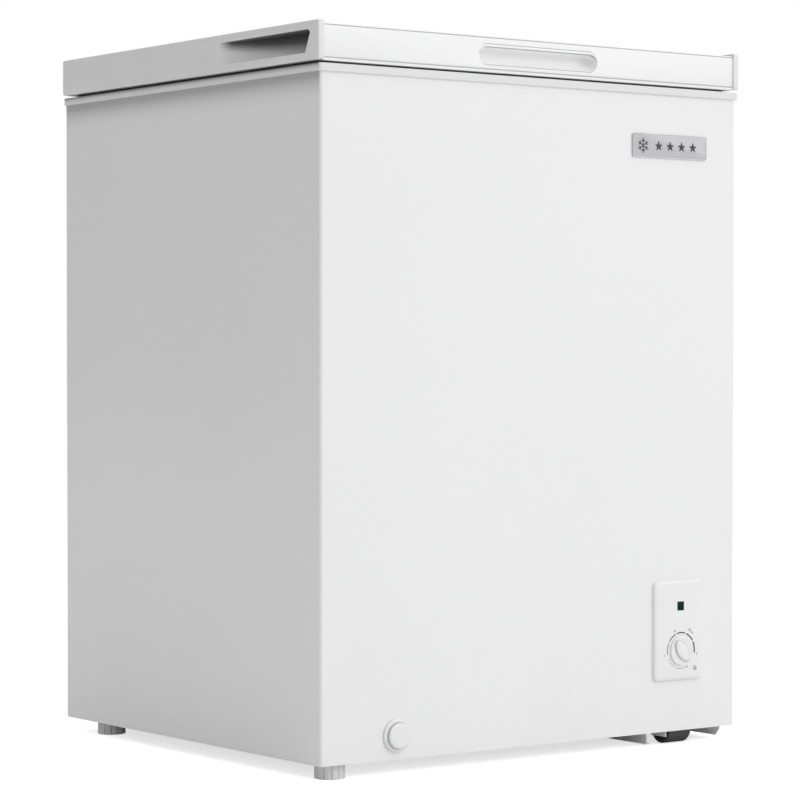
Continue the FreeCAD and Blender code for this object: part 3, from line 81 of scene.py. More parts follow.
class Finish(Nodes):
    """A node material whose colour, roughness and relief vary over the surface."""

    def __init__(self, name, roughness, metallic=0.0, **sockets):
        self.material = bpy.data.materials.new(name)
        self.material.use_nodes = True
        super().__init__(self.material.node_tree)
        self.shader = self.tree.nodes["Principled BSDF"]
        for socket, value in {"roughness": roughness, "metallic": metallic, **sockets}.items():
            self.shader.inputs[socket.replace("_", " ").title().replace("Ior", "IOR")].default_value = value
        self.place = self.add("ShaderNodeTexCoord").outputs["Object"]
        self.relief = None

    def stretched(self, x, y, z):
        """The place, with each axis scaled, so that a pattern runs along the small one."""
        return self.add("ShaderNodeMapping", {"Vector": self.place, "Scale": (x, y, z)}).outputs["Vector"]

    def noise(self, size, detail=3.0, place=None, rough=0.55, distortion=0.0):
        """Cloudy noise from 0 to 1 with features of that size."""
        node = self.add("ShaderNodeTexNoise", {"Vector": place or self.place, "Scale": 1 / size, "Detail": detail,
                                               "Roughness": rough, "Distortion": distortion})
        return node.outputs["Fac"]

    def cells(self, size, feature="F1", output="Distance"):
        """A pattern of irregular cells of that size."""
        node = self.add("ShaderNodeTexVoronoi", {"Vector": self.place, "Scale": 1 / size}, feature=feature)
        return node.outputs[output]

    def ranged(self, value, low, high, to_low=0.0, to_high=1.0):
        node = self.add("ShaderNodeMapRange", {"Value": value, "From Min": low, "From Max": high, "To Min": to_low,
                                               "To Max": to_high})
        return node.outputs["Result"]

    def patches(self, size, detail, *limits):
        """Noise of that size with its range stretched between limits."""
        return self.ranged(self.noise(size, detail), *limits)

    def axis(self, name):
        return self.add("ShaderNodeSeparateXYZ", {"Vector": self.place}).outputs[name.upper()]

    def edges(self, radius):
        """1 along outside and inside edges, and 0 away from them."""
        soft = self.add("ShaderNodeBevel", {"Radius": radius}, samples=4).outputs["Normal"]
        hard = self.add("ShaderNodeNewGeometry").outputs["Normal"]
        facing = self.add("ShaderNodeVectorMath", {0: soft, 1: hard}, operation="DOT_PRODUCT")
        return self.ranged(facing.outputs["Value"], 0.995, 0.85)

    def blended(self, factor, first, second, strength=1):
        """The first colour where the factor is 0, and that much of the second where it is 1."""
        if strength != 1:
            factor = self.maths(factor, strength, "MULTIPLY")
        first, second = [value if isinstance(value, bpy.types.NodeSocket) else (*value, 1.0)
                         for value in (first, second)]
        return self.add("ShaderNodeMix", {"Factor": factor, 6: first, 7: second}, data_type="RGBA").outputs[2]

    def painted_shadow_under(self, colour, side_x, edge_z, reach, strength):
        """That colour with a painted shadow: darker on the faces at both sides just below a level, fading out
        downwards.
        """
        on_side = self.ranged(self.maths(self.axis("x"), 0.0, "ABSOLUTE"), side_x - 0.6 * MM, side_x - 0.2 * MM)
        depth = self.ranged(self.axis("z"), edge_z - reach, edge_z)
        shade = self.maths(self.maths(depth, 2.2, "POWER"), on_side, "MULTIPLY")
        return self.blended(shade, colour, (0.02, 0.02, 0.02), strength)

    def colour(self, value):
        self.feed(self.shader.inputs["Base Color"], value)
        return self

    def roughness(self, value):
        self.feed(self.shader.inputs["Roughness"], value)
        return self

    def raised(self, height, depth, strength=1.0):
        """Adds relief of that depth on top of what is there already."""
        bump = self.add("ShaderNodeBump", {"Height": height, "Distance": depth, "Strength": strength})
        if self.relief:
            self.tree.links.new(self.relief, bump.inputs["Normal"])
        self.relief = bump.outputs["Normal"]
        self.tree.links.new(self.relief, self.shader.inputs["Normal"])
        return self


def tinted(colour, factor):
    """A colour made lighter or darker by that factor."""
    return tuple(channel * factor for channel in colour)


def enamel(name, colour, roughness, grime, floor_dust=True, shaded=None):
    """Baked enamel on steel: orange peel, faint smears and a little dust towards the floor."""
    finish = Finish(name, roughness, coat_weight=0.25, coat_roughness=0.12)
    clouds = finish.blended(finish.patches(0.35, 2, 0.35, 0.65), colour, tinted(colour, 0.985))
    specks = finish.patches(0.0016, 1, 0.70, 0.78)
    speckled = finish.blended(specks, clouds, tinted(colour, 0.93), 0.35)
    surface_colour = finish.blended(finish.edges(0.0012), speckled, tinted(colour, 1.03), 0.25)
    if floor_dust:
        low = finish.ranged(finish.axis("z"), 0.16, 0.015)
        dust = finish.maths(low, finish.patches(0.03, 5, 0.38, 0.72), "MULTIPLY")
        surface_colour = finish.blended(dust, surface_colour, grime, 0.07)
    # painted shadow on the sides below a ledge, where shaded is given
    if shaded:
        surface_colour = finish.painted_shadow_under(surface_colour, *shaded)
    smears = finish.noise(0.09, 5, finish.stretched(1, 1, 0.35), 0.62, 0.4)
    finish.colour(surface_colour).roughness(finish.ranged(smears, 0.3, 0.75, roughness - 0.02, roughness + 0.03))
    return finish.raised(finish.noise(0.0035, 2), 0.00003, 0.5).raised(finish.noise(0.12, 1), 0.0004, 0.25).material


def moulded(name, colour, roughness, grain=0.0006, depth=0.00002, subsurface=0.0, scuff=0.92, shaded=None):
    """Injection-moulded plastic: spark-eroded grain, flow marks, rubbed edges and fine scuffs."""
    finish = Finish(name, roughness, subsurface_weight=subsurface, subsurface_scale=0.002)
    flow = finish.ranged(finish.noise(0.05, 4, finish.stretched(0.25, 1, 1), 0.6, 0.5), 0.35, 0.7)
    clouds = finish.blended(flow, colour, tinted(colour, 0.975))
    scuffs = finish.ranged(finish.noise(0.004, 3, finish.stretched(0.12, 1, 1)), 0.68, 0.80)
    scuffed = finish.blended(scuffs, clouds, tinted(colour, scuff), 0.4)
    plastic_colour = finish.blended(finish.edges(0.0008), scuffed, tinted(colour, 1.04), 0.3)
    # painted shadow on the sides below a ledge, where shaded is given
    if shaded:
        plastic_colour = finish.painted_shadow_under(plastic_colour, *shaded)
    patches = finish.noise(0.03, 4)
    finish.colour(plastic_colour).roughness(finish.ranged(patches, 0.3, 0.7, roughness - 0.05, roughness + 0.07))
    return finish.raised(finish.noise(grain, 2), depth, 0.7).raised(finish.noise(0.06, 1), 0.0003, 0.2).material


def shaded_grip(name, colour, shade_colour, front, rear):
    """Grained plastic in the finger grips with painted shade: dark above a line from front to rear, as (y, z), and
    paler below it.
    """
    finish = Finish(name, 0.55)
    y = finish.axis("y")
    line = finish.ranged(y, front[0], rear[0], front[1], rear[1])
    below = finish.maths(line, finish.axis("z"), "SUBTRACT")
    palest = finish.ranged(y, front[0], rear[0], 0.66, 0.10)
    reach = finish.ranged(y, front[0], rear[0], 17 * MM, 9 * MM)
    fall = finish.ranged(finish.maths(below, reach, "DIVIDE"), 0.0, 1.0, 1.0, palest)
    shade = finish.maths(fall, finish.ranged(y, rear[0] - 22 * MM, rear[0], 1.0, 0.0), "MULTIPLY")
    mottled = finish.maths(shade, finish.patches(0.02, 4, 0.3, 0.7, 0.98, 1.0), "MULTIPLY")
    finish.colour(finish.blended(mottled, colour, shade_colour))
    finish.roughness(finish.patches(0.01, 3, 0.3, 0.7, 0.5, 0.62))
    return finish.raised(finish.cells(0.0011), 0.00006, 0.6).material


def stucco_sheet(name, colour):
    """Embossed aluminium sheet: small hammered dimples with dull hollows."""
    finish = Finish(name, 0.34, metallic=0.85)
    dimples = finish.cells(0.0065, "SMOOTH_F1")
    finer = finish.noise(0.003, 2)
    hollow = finish.ranged(dimples, 0.05, 0.55)
    toned = finish.blended(hollow, tinted(colour, 0.93), colour)
    stains = finish.patches(0.08, 5, 0.45, 0.75)
    finish.colour(finish.blended(stains, toned, tinted(colour, 0.86), 0.3))
    finish.roughness(finish.patches(0.02, 4, 0.3, 0.7, 0.28, 0.42))
    return finish.raised(hollow, 0.0005, 0.8).raised(finer, 0.0001, 0.5).material


def galvanised_sheet(name, colour, metallic=0.9):
    """Zinc-coated steel: crystals of different greys, white bloom and drawing scratches."""
    finish = Finish(name, 0.4, metallic=metallic)
    crystals = finish.cells(0.011, output="Color")
    grey = finish.add("ShaderNodeRGBToBW", {"Color": crystals}).outputs["Val"]
    toned = finish.blended(grey, tinted(colour, 0.80), tinted(colour, 1.12))
    bloom = finish.ranged(finish.noise(0.03, 6, rough=0.7), 0.52, 0.8)
    edged = finish.blended(finish.edges(0.0008), toned, tinted(colour, 1.25), 0.5)
    finish.colour(finish.blended(bloom, edged, (0.62, 0.63, 0.62), 0.5))
    finish.roughness(finish.maths(finish.ranged(grey, 0, 1, 0.26, 0.42), finish.maths(bloom, 0.25, "MULTIPLY")))
    scratches = finish.noise(0.0012, 2, finish.stretched(0.04, 1, 1))
    return finish.raised(scratches, 0.00002, 0.5).raised(grey, 0.00004, 0.4).material


def drawn_metal(name, colour, roughness, tarnish, spread, along=(1, 1, 0.05)):
    """Bare drawn or turned metal with draw lines and patches of tarnish."""
    finish = Finish(name, roughness, metallic=1.0)
    lines = finish.noise(0.0008, 3, finish.stretched(*along))
    patches = finish.ranged(finish.noise(spread, 5, rough=0.65), 0.48, 0.72)
    lined = finish.blended(lines, tinted(colour, 0.88), tinted(colour, 1.08))
    edged = finish.blended(finish.edges(0.0006), lined, tinted(colour, 1.2), 0.5)
    finish.colour(finish.blended(patches, edged, tarnish, 0.6))
    finish.roughness(finish.ranged(patches, 0, 1, roughness, roughness + 0.2))
    return finish.raised(lines, 0.00002, 0.6).material


def rubber(name, colour, roughness, dust):
    """Moulded rubber: a fine pebbled skin with dust in its hollows."""
    finish = Finish(name, roughness, sheen_weight=0.15, sheen_roughness=0.5)
    pebbles = finish.cells(0.0012)
    powder = finish.ranged(finish.noise(0.012, 6, rough=0.7), 0.45, 0.75)
    surface_colour = finish.blended(finish.edges(0.001), colour, tinted(colour, 1.5), 0.4)
    finish.colour(finish.blended(powder, surface_colour, dust, 0.35))
    finish.roughness(finish.ranged(powder, 0, 1, roughness, min(1.0, roughness + 0.15)))
    return finish.raised(pebbles, 0.00005, 0.6).material


def soft_seal(name, side_shade_colour, front_lit_colour, front_y):
    """Soft, slightly translucent vinyl with extrusion lines, with painted shade: much darker at the sides than at the
    front.
    """
    finish = Finish(name, 0.5, subsurface_weight=0.08, subsurface_scale=0.003)
    lines = finish.noise(0.0007, 2, finish.stretched(1, 1, 0.15))
    marks = finish.patches(0.02, 5, 0.5, 0.75)
    at_front = finish.ranged(finish.axis("y"), front_y + 4 * MM, front_y)
    toned = finish.blended(at_front, side_shade_colour, front_lit_colour)
    finish.colour(finish.blended(marks, toned, tinted(side_shade_colour, 0.86), 0.3))
    finish.roughness(finish.patches(0.015, 3, 0.3, 0.7, 0.44, 0.58))
    return finish.raised(lines, 0.00004, 0.6).material


def expanded_foam(name, colour):
    """Cut polyurethane foam: open cells and darker blown patches."""
    finish = Finish(name, 0.95)
    bubbles = finish.cells(0.0018, "SMOOTH_F1")
    patches = finish.patches(0.04, 5, 0.35, 0.7)
    shaded = finish.blended(finish.ranged(bubbles, 0.1, 0.6), tinted(colour, 0.72), colour)
    finish.colour(finish.blended(patches, shaded, tinted(colour, 0.85), 0.4))
    finish.roughness(finish.ranged(bubbles, 0.1, 0.6, 1.0, 0.85))
    return finish.raised(bubbles, 0.0008, 0.8).material


def lamp_window(name):
    """Dark green tinted plastic over the lamp, with fine prisms moulded on it."""
    finish = Finish(name, 0.22, specular_ior_level=0.12)
    wave = finish.add("ShaderNodeTexWave", {"Vector": finish.place, "Scale": 260.0}, bands_direction="X")
    depth = finish.patches(0.004, 2, 0.35, 0.65)
    glow = finish.blended(depth, (0.0005, 0.014, 0.011), (0.001, 0.026, 0.021))
    finish.colour(glow).roughness(finish.patches(0.002, 3, 0.3, 0.7, 0.12, 0.24))
    return finish.raised(wave.outputs["Fac"], 0.00006, 0.5).material


def brushed_badge(name, colour, box):
    """Foil-faced plate brushed along its length: paler across one corner as a painted reflection, and duller in
    smudges.
    """
    finish = Finish(name, 0.36, metallic=0.75, anisotropic=0.5)
    lines = finish.noise(0.0005, 3, finish.stretched(0.02, 1, 1))
    smudges = finish.patches(0.02, 4, 0.4, 0.7)
    lined = finish.blended(lines, tinted(colour, 0.9), tinted(colour, 1.1))
    middle = (box[0] + box[1]) / 2
    # painted reflection: paler towards the upper corner at +X
    across = finish.maths(finish.maths(finish.axis("x"), -middle.x), 0.22, "MULTIPLY")
    corner = finish.maths(finish.maths(finish.axis("z"), -middle.z), across)
    painted_reflection = finish.blended(finish.ranged(corner, 1 * MM, 7 * MM, 0.0, 0.7), lined, tinted(colour, 1.22))
    finish.colour(finish.blended(finish.edges(0.0008), painted_reflection, tinted(colour, 1.4), 0.35))
    finish.roughness(finish.ranged(smudges, 0, 1, 0.32, 0.46))
    return finish.raised(lines, 0.00001, 0.5).material


def printed_ink(name, colour):
    """Pad-printed ink, slightly uneven in its cover."""
    finish = Finish(name, 0.45)
    cover = finish.patches(0.0007, 3, 0.35, 0.7)
    finish.colour(finish.blended(cover, colour, tinted(colour, 1.35)))
    finish.roughness(finish.patches(0.003, 2, 0.3, 0.7, 0.38, 0.52))
    return finish.raised(finish.noise(0.0004, 2), 0.00001, 0.5).material


def slot_name(material):
    """A material's slot: its name without the number that Blender adds."""
    return material.name.split(".")[0]


DUST = (0.62, 0.60, 0.56)
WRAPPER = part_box("cabinet_wrapper")
COLLAR_BOTTOM = 787 * MM
COLLAR_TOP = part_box("top_frame")[1]
FINISHES = {slot_name(finish): finish for finish in (
    # the cabinet's enamel, with a painted shadow on its sides just under the collar
    enamel("white_enamel", (0.86, 0.862, 0.864), 0.30, DUST,
           shaded=(WRAPPER[1].x, COLLAR_BOTTOM, 30 * MM, 0.42)),
    moulded("white_plastic", (0.84, 0.845, 0.845), 0.38, subsurface=0.02),
    moulded("lid_plastic", (0.925, 0.927, 0.927), 0.36, subsurface=0.02),
    stucco_sheet("liner_sheet", (0.80, 0.81, 0.82)),
    galvanised_sheet("galvanised", (0.76, 0.77, 0.78)),
    expanded_foam("foam", (0.86, 0.76, 0.50)),
    enamel("black_enamel", (0.012, 0.012, 0.013), 0.26, (0.10, 0.095, 0.09), False),
    rubber("black_rubber", (0.018, 0.018, 0.019), 0.7, (0.14, 0.135, 0.13)),
    # the seal: dark at the sides and lighter at the front, as painted shade
    soft_seal("seal", (0.12, 0.121, 0.12), (0.42, 0.42, 0.42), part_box("lid_gasket")[0].y + 2 * MM),
    drawn_metal("copper", (0.62, 0.27, 0.14), 0.3, (0.22, 0.09, 0.05), 0.02),
    drawn_metal("alu_tube", (0.66, 0.67, 0.68), 0.32, (0.42, 0.43, 0.43), 0.03),
    moulded("dark_plastic", (0.045, 0.046, 0.050), 0.5, scuff=1.6),
    moulded("foot_plastic", (0.74, 0.74, 0.735), 0.52, scuff=0.8),
    moulded("control_plastic", (0.85, 0.852, 0.85), 0.40, grain=0.0005, subsurface=0.02),
    lamp_window("lens"),
    brushed_badge("badge_silver", (0.57, 0.57, 0.59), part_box("badge_plate")),
    drawn_metal("zinc", (0.60, 0.60, 0.56), 0.3, (0.40, 0.39, 0.34), 0.006, (1, 0.05, 1)),
    moulded("coated_wire", (0.86, 0.865, 0.86), 0.30, grain=0.0012, depth=0.00003),
    moulded("sleeve", (0.035, 0.035, 0.037), 0.55, scuff=1.7),
)}
# The collar: the white plastic painted darker as shade, with more painted shadow on its sides just under the lid.
SHADED_COLLAR_PLASTIC = moulded("collar_plastic_painted_shade", (0.77, 0.773, 0.773), 0.38, subsurface=0.02,
                         shaded=(COLLAR_TOP.x, COLLAR_TOP.z, 7 * MM, 0.9))
# Brackets, base tray and bottom panel: a non-metallic copy of the galvanised sheet, painted paler as light that the
# shaded underside lacks.
LIGHTENED_ZINC = galvanised_sheet("zinc_painted_light", (0.92, 0.925, 0.93), 0.0)
# The lid's end mouldings: the lid's plastic painted darker, as shade on the lid's sides.
SHADED_CAP_PLASTIC = moulded("cap_plastic_painted_shade", (0.80, 0.802, 0.802), 0.36, subsurface=0.02)
# The handle pocket: the lid's plastic painted lighter, as painted light against the pocket's own shade.
LIT_POCKET_PLASTIC = moulded("pocket_plastic_painted_light", (0.955, 0.957, 0.957), 0.36)
# A mid grey that paints shade into grooves and under lips and steps.
PAINTED_SHADE_GREY = moulded("joint_shadow", (0.50, 0.50, 0.50), 0.5)
# The finger grips' plastic, with the recess's shade painted in as a dark tone.
GRIP_PAINTED_SHADE = shaded_grip("grip_plastic_painted_shade", (0.80, 0.802, 0.802), (0.135, 0.135, 0.136), (-268 * MM, 826 * MM),
                   (-79 * MM, 840 * MM))
INK = printed_ink("dark_ink", (0.045, 0.046, 0.050))
SPECIAL_FINISHES = {"top_frame": SHADED_COLLAR_PLASTIC, "roller_brackets": LIGHTENED_ZINC, "compressor_base_tray": LIGHTENED_ZINC,
                    "bottom_panel": LIGHTENED_ZINC}


def dress_cad_nodes():
    """Gives every CAD node the finish that its material slot names."""
    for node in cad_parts.values():
        for place in node.material_slots:
            place.material = FINISHES[slot_name(place.material)]
        if node.name in SPECIAL_FINISHES:
            node.material_slots[0].material = SPECIAL_FINISHES[node.name]
        smooth(node.data, 30)


# ---- meshes

X, Y, Z = range(3)


def placed(name, data):
    """A new object in the scene."""
    thing = bpy.data.objects.new(name, data)
    bpy.context.scene.collection.objects.link(thing)
    return thing


def placed_mesh(name, mesh):
    """A new object made of a bmesh, which is used up."""
    data = bpy.data.meshes.new(name)
    mesh.to_mesh(data)
    mesh.free()
    return placed(name, data)


def smooth(data, sharp):
    """Shades a mesh smoothly, except across edges sharper than that many degrees."""
    for polygon in data.polygons:
        polygon.use_smooth = True
    data.set_sharp_from_angle(angle=math.radians(sharp))


def piece(name, mesh, body, slot, *replaced, material=None, others=(), sharp=35):
    """Turns a bmesh into a piece that rides on a body and stands for the CAD nodes that it replaces.

    Its faces with material index 0 get the first material, and those from 1 up get the others.
    """
    bmesh.ops.remove_doubles(mesh, verts=mesh.verts, dist=1e-6)
    bmesh.ops.recalc_face_normals(mesh, faces=mesh.faces)
    shown = placed_mesh(name, mesh)
    smooth(shown.data, sharp)
    for finish in (material or FINISHES[slot], *others):
        shown.data.materials.append(finish)
    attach(shown, body)
    if replaced:
        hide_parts(*replaced)


def mark_faces(mesh, first, last, index):
    """Gives a run of faces, counted in their order, that material index."""
    mesh.faces.ensure_lookup_table()
    for face in mesh.faces[first:last]:
        face.material_index = index


def mark_new(mesh, old, index):
    """Gives every face that isn't among the old ones that material index."""
    for face in set(mesh.faces) - old:
        face.material_index = index


def offset(start, *steps):
    """Points that lie that many millimetres from a start, as (first, second) pairs."""
    return [(start[0] + first * MM, start[1] + second * MM) for first, second in steps]


def skin(mesh, loops, caps=True):
    """Joins closed loops of equally many points, with a face over each end."""
    rings = [[mesh.verts.new(point) for point in loop] for loop in loops]
    count = len(rings[0])
    for near, far in zip(rings, rings[1:]):
        for i in range(count):
            j = (i + 1) % count
            mesh.faces.new((near[i], near[j], far[j], far[i]))
    if caps:
        mesh.faces.new(rings[0])
        mesh.faces.new(rings[-1])


def patch(mesh, rows):
    """Joins open rows of equally many points into a sheet."""
    grid = [[mesh.verts.new(point) for point in row] for row in rows]
    for near, far in zip(grid, grid[1:]):
        for i in range(len(near) - 1):
            mesh.faces.new((near[i], near[i + 1], far[i + 1], far[i]))


def fill_between(mesh, outer, hole):
    """A flat face between an outer loop and a hole in it."""
    edges = []
    for loop in (outer, hole):
        corners = [mesh.verts.new(point) for point in loop]
        edges += [mesh.edges.new((corners[i], corners[(i + 1) % len(corners)])) for i in range(len(corners))]
    bmesh.ops.triangle_fill(mesh, edges=edges, use_beauty=True)


def rounded_rectangle(x, y, radius, steps=6):
    """Points round a rectangle with rounded corners; x and y are its low and high sides."""
    points = []
    corners = ((x[1], y[1], 0), (x[0], y[1], 1), (x[0], y[0], 2), (x[1], y[0], 3))
    for corner_x, corner_y, quarter in corners:
        inward_x = -radius if quarter in (0, 3) else radius
        inward_y = -radius if quarter in (0, 1) else radius
        for i in range(steps + 1):
            angle = (quarter + i / steps) * math.pi / 2
            points.append((corner_x + inward_x + radius * math.cos(angle),
                           corner_y + inward_y + radius * math.sin(angle)))
    return points


def inset_outline(box, axes, inset, radius, steps=6):
    """A rounded rectangle in two of a box's axes, drawn in from its sides by an inset."""
    return rounded_rectangle(*((box[0][axis] + inset, box[1][axis] - inset) for axis in axes), radius, steps)


def circle(radius, steps):
    """Points round a circle about the origin."""
    angles = [FULL_TURN * i / steps for i in range(steps)]
    return [(radius * math.cos(angle), radius * math.sin(angle)) for angle in angles]


def softened(profile, radius, steps=3):
    """An open run of points with each inner corner rounded by up to that radius."""
    points = [profile[0]]
    for before, here, after in zip(profile, profile[1:], profile[2:]):
        here = Vector(here)
        arriving = Vector(before) - here
        leaving = Vector(after) - here
        reach = min(radius, arriving.length * 0.45, leaving.length * 0.45)
        first = here + arriving.normalized() * reach
        last = here + leaving.normalized() * reach
        for i in range(steps + 1):
            t = i / steps
            points.append(tuple(first * (1 - t) ** 2 + here * 2 * t * (1 - t) + last * t ** 2))
    return points + [profile[-1]]


def turned(mesh, profile, placing, steps):
    """Turns (radius, height) points about an axis, and places them with a matrix."""
    skin(mesh, [[placing @ Vector((x, y, height)) for x, y in circle(max(radius, 1e-5), steps)]
                for radius, height in profile])


def wire(mesh, points, radius, normal, closed=False, sides=12):
    """A round wire along points that lie in the plane with that normal."""
    normal = Vector(normal)
    places = [Vector(point) for point in points]
    count = len(places)
    rings = []
    for i, place in enumerate(places):
        before = places[i - 1] if i or closed else place
        after = places[(i + 1) % count] if i < count - 1 or closed else place
        side = (after - before).normalized().cross(normal)
        rings.append([place + radius * (cos * normal + sin * side) for cos, sin in circle(1, sides)])
    skin(mesh, rings + rings[:1] if closed else rings, caps=not closed)


# ---- lid

LID = "lid"


def grip_depth(along, rise, deepest):
    """Depth of the finger grip; along runs from its front to its rear, and rise from its bottom to its top."""
    fade = 1 - max(0.0, (along - 0.10) / 0.90) ** 2.2
    return deepest * fade * rise ** 1.2


def lid_end_cap(name, side):
    """A deep end moulding with a scooped finger grip that runs out downwards and towards the rear."""
    low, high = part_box(name)
    panel_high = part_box("lid_front_panel")[1]
    outer_x = high.x if side > 0 else low.x
    core_x = low.x if side > 0 else high.x
    step_x = side * panel_high.x
    top, bottom = 839.7 * MM, 814.5 * MM
    front, rear, slant, corner, deepest = -268.5 * MM, -79 * MM, 11.3 * MM, 4.5 * MM, 20 * MM
    mesh = bmesh.new()

    def at(x, y, z):
        return Vector((x, y, z))

    # the outer slab's rim, rolled over from its face
    soft = 1.2 * MM
    rim = [(0.0, soft), (0.12 * soft, 0.62 * soft), (0.38 * soft, 0.29 * soft), (0.62 * soft, 0.12 * soft), (soft, 0.0)]
    loops = []
    for inward, inset in rim + [(abs(outer_x - step_x), 0.0)]:
        outline = inset_outline((low, high), (Y, Z), inset, 2.6 * MM)
        loops.append([at(outer_x - side * inward, y, z) for y, z in outline])
    skin(mesh, loops, caps=False)

    # a core behind the slab, under the lid's panel
    core_front, core_rear = low.y + 4.9 * MM, high.y - 5 * MM
    core_bottom, core_top = low.z + 1.5 * MM, panel_high.z - MM
    core = [(core_rear, core_top), (core_front, core_top), (core_front, core_bottom), (core_rear, core_bottom)]
    outer_end, inner_end = [[at(x, y, z) for y, z in core] for x in (step_x, core_x)]
    fill_between(mesh, loops[-1], outer_end)
    skin(mesh, [outer_end, inner_end], caps=False)
    mesh.faces.new([mesh.verts.new(point) for point in inner_end])

    def front_end(z):
        """The y of the grip's slanted front edge, rounded into its top edge."""
        y = front + slant * (top - z) / (top - bottom)
        near_top = max(0.0, z - (top - corner)) / corner
        return y + 1.3 * corner * (1 - math.sqrt(max(0.0, 1 - near_top ** 2)))

    columns, rows, wall_rows = 40, 22, 6
    rises = [1 - (1 - i / rows) ** 1.4 for i in range(rows + 1)]
    sheet_rows = []
    for i in range(columns + 1):
        along = (i / columns) ** 1.1
        column = []
        for rise in rises:
            z = bottom + (top - bottom) * rise
            y = front_end(z) + along * (rear - front_end(z))
            column.append(at(outer_x - side * grip_depth(along, rise, deepest), y, z))
        ceiling = grip_depth(along, 1.0, deepest)
        lip = min(0.7 * MM, ceiling * 0.5)
        y = front_end(top) + along * (rear - front_end(top))
        for k in range(1, wall_rows + 1):
            t = k / wall_rows
            column.append(at(outer_x - side * (ceiling + (lip - ceiling) * t), y, top))
        column.append(at(outer_x - side * lip * 0.3, y, top + lip * 0.3))
        column.append(at(outer_x, y, top + lip))
        sheet_rows.append(column)
    slab_faces = set(mesh.faces)
    patch(mesh, sheet_rows)
    nose = sheet_rows[0][:rows + 1]
    edge = [at(outer_x, point.y - 0.5 * MM, point.z) for point in nose]
    edge[-1] = sheet_rows[0][-1]
    patch(mesh, [nose, edge])
    # the ceiling's front end, up to its rolled lip
    mesh.faces.new([mesh.verts.new(point) for point in sheet_rows[0][rows:]])
    # the grip's faces take the grip plastic with its painted shade
    mark_new(mesh, slab_faces, 1)
    hole = edge[:-1] + [column[-1] for column in sheet_rows] + list(reversed(sheet_rows[-1][1:rows + 1]))
    hole += [column[0] for column in reversed(sheet_rows)]
    cleaned = [hole[0]]
    for point in hole[1:]:
        if (point - cleaned[-1]).length > 2e-6 and (point - cleaned[0]).length > 2e-6:
            cleaned.append(point)
    fill_between(mesh, loops[0], cleaned)
    piece(name + "_moulding", mesh, LID, "lid_plastic", name, material=SHADED_CAP_PLASTIC, others=(GRIP_PAINTED_SHADE,), sharp=40)


# (share of the pocket's height, depth in mm), from the groove above it to the one below
POCKET_SECTION = (
    (1.0, 0.0), (0.995, 0.9), (0.968, 0.9), (0.962, 0.1), (0.94, 0.0), (0.89, 0.0), (0.862, 0.25), (0.842, 0.9),
    (0.832, 2.2), (0.83, 4.6), (0.825, 9.0), (0.82, 12.0), (0.80, 14.8), (0.75, 17.0), (0.66, 18.0), (0.56, 17.7),
    (0.44, 16.2), (0.32, 13.2), (0.21, 9.4), (0.12, 5.4), (0.075, 2.8), (0.045, 0.9), (0.033, 0.15), (0.030, 0.9),
    (0.004, 0.9), (0.0, 0.0),
)
POCKET_DEEPEST = 18


def pocket_rows(centre_z, half_length, half_height, face_y, deepest):
    """Rows of points across the pocket: a scoop under a rolled lip, closed by round ends."""
    straight = half_length - half_height
    stations = [straight * i / 10 for i in range(10)]
    stations += [straight + half_height * math.sin(math.pi / 2 * i / 14) for i in range(15)]
    stations = [-x for x in reversed(stations[1:])] + stations
    rows = []
    for x in stations:
        beyond = max(0.0, abs(x) - straight) / half_height
        height = math.sqrt(max(0.0, 1 - beyond ** 2))
        depth = max(0.0, 1 - beyond ** 4) ** 0.6
        rows.append([Vector((x, face_y + deepest / POCKET_DEEPEST * bite * depth,
                             centre_z + (share * 2 - 1) * half_height * height)) for share, bite in POCKET_SECTION])
    return rows


def outline_of(rows):
    """The closed edge of rows that meet in a point at each end."""
    return [row[0] for row in rows] + [row[-1] for row in reversed(rows[1:-1])]


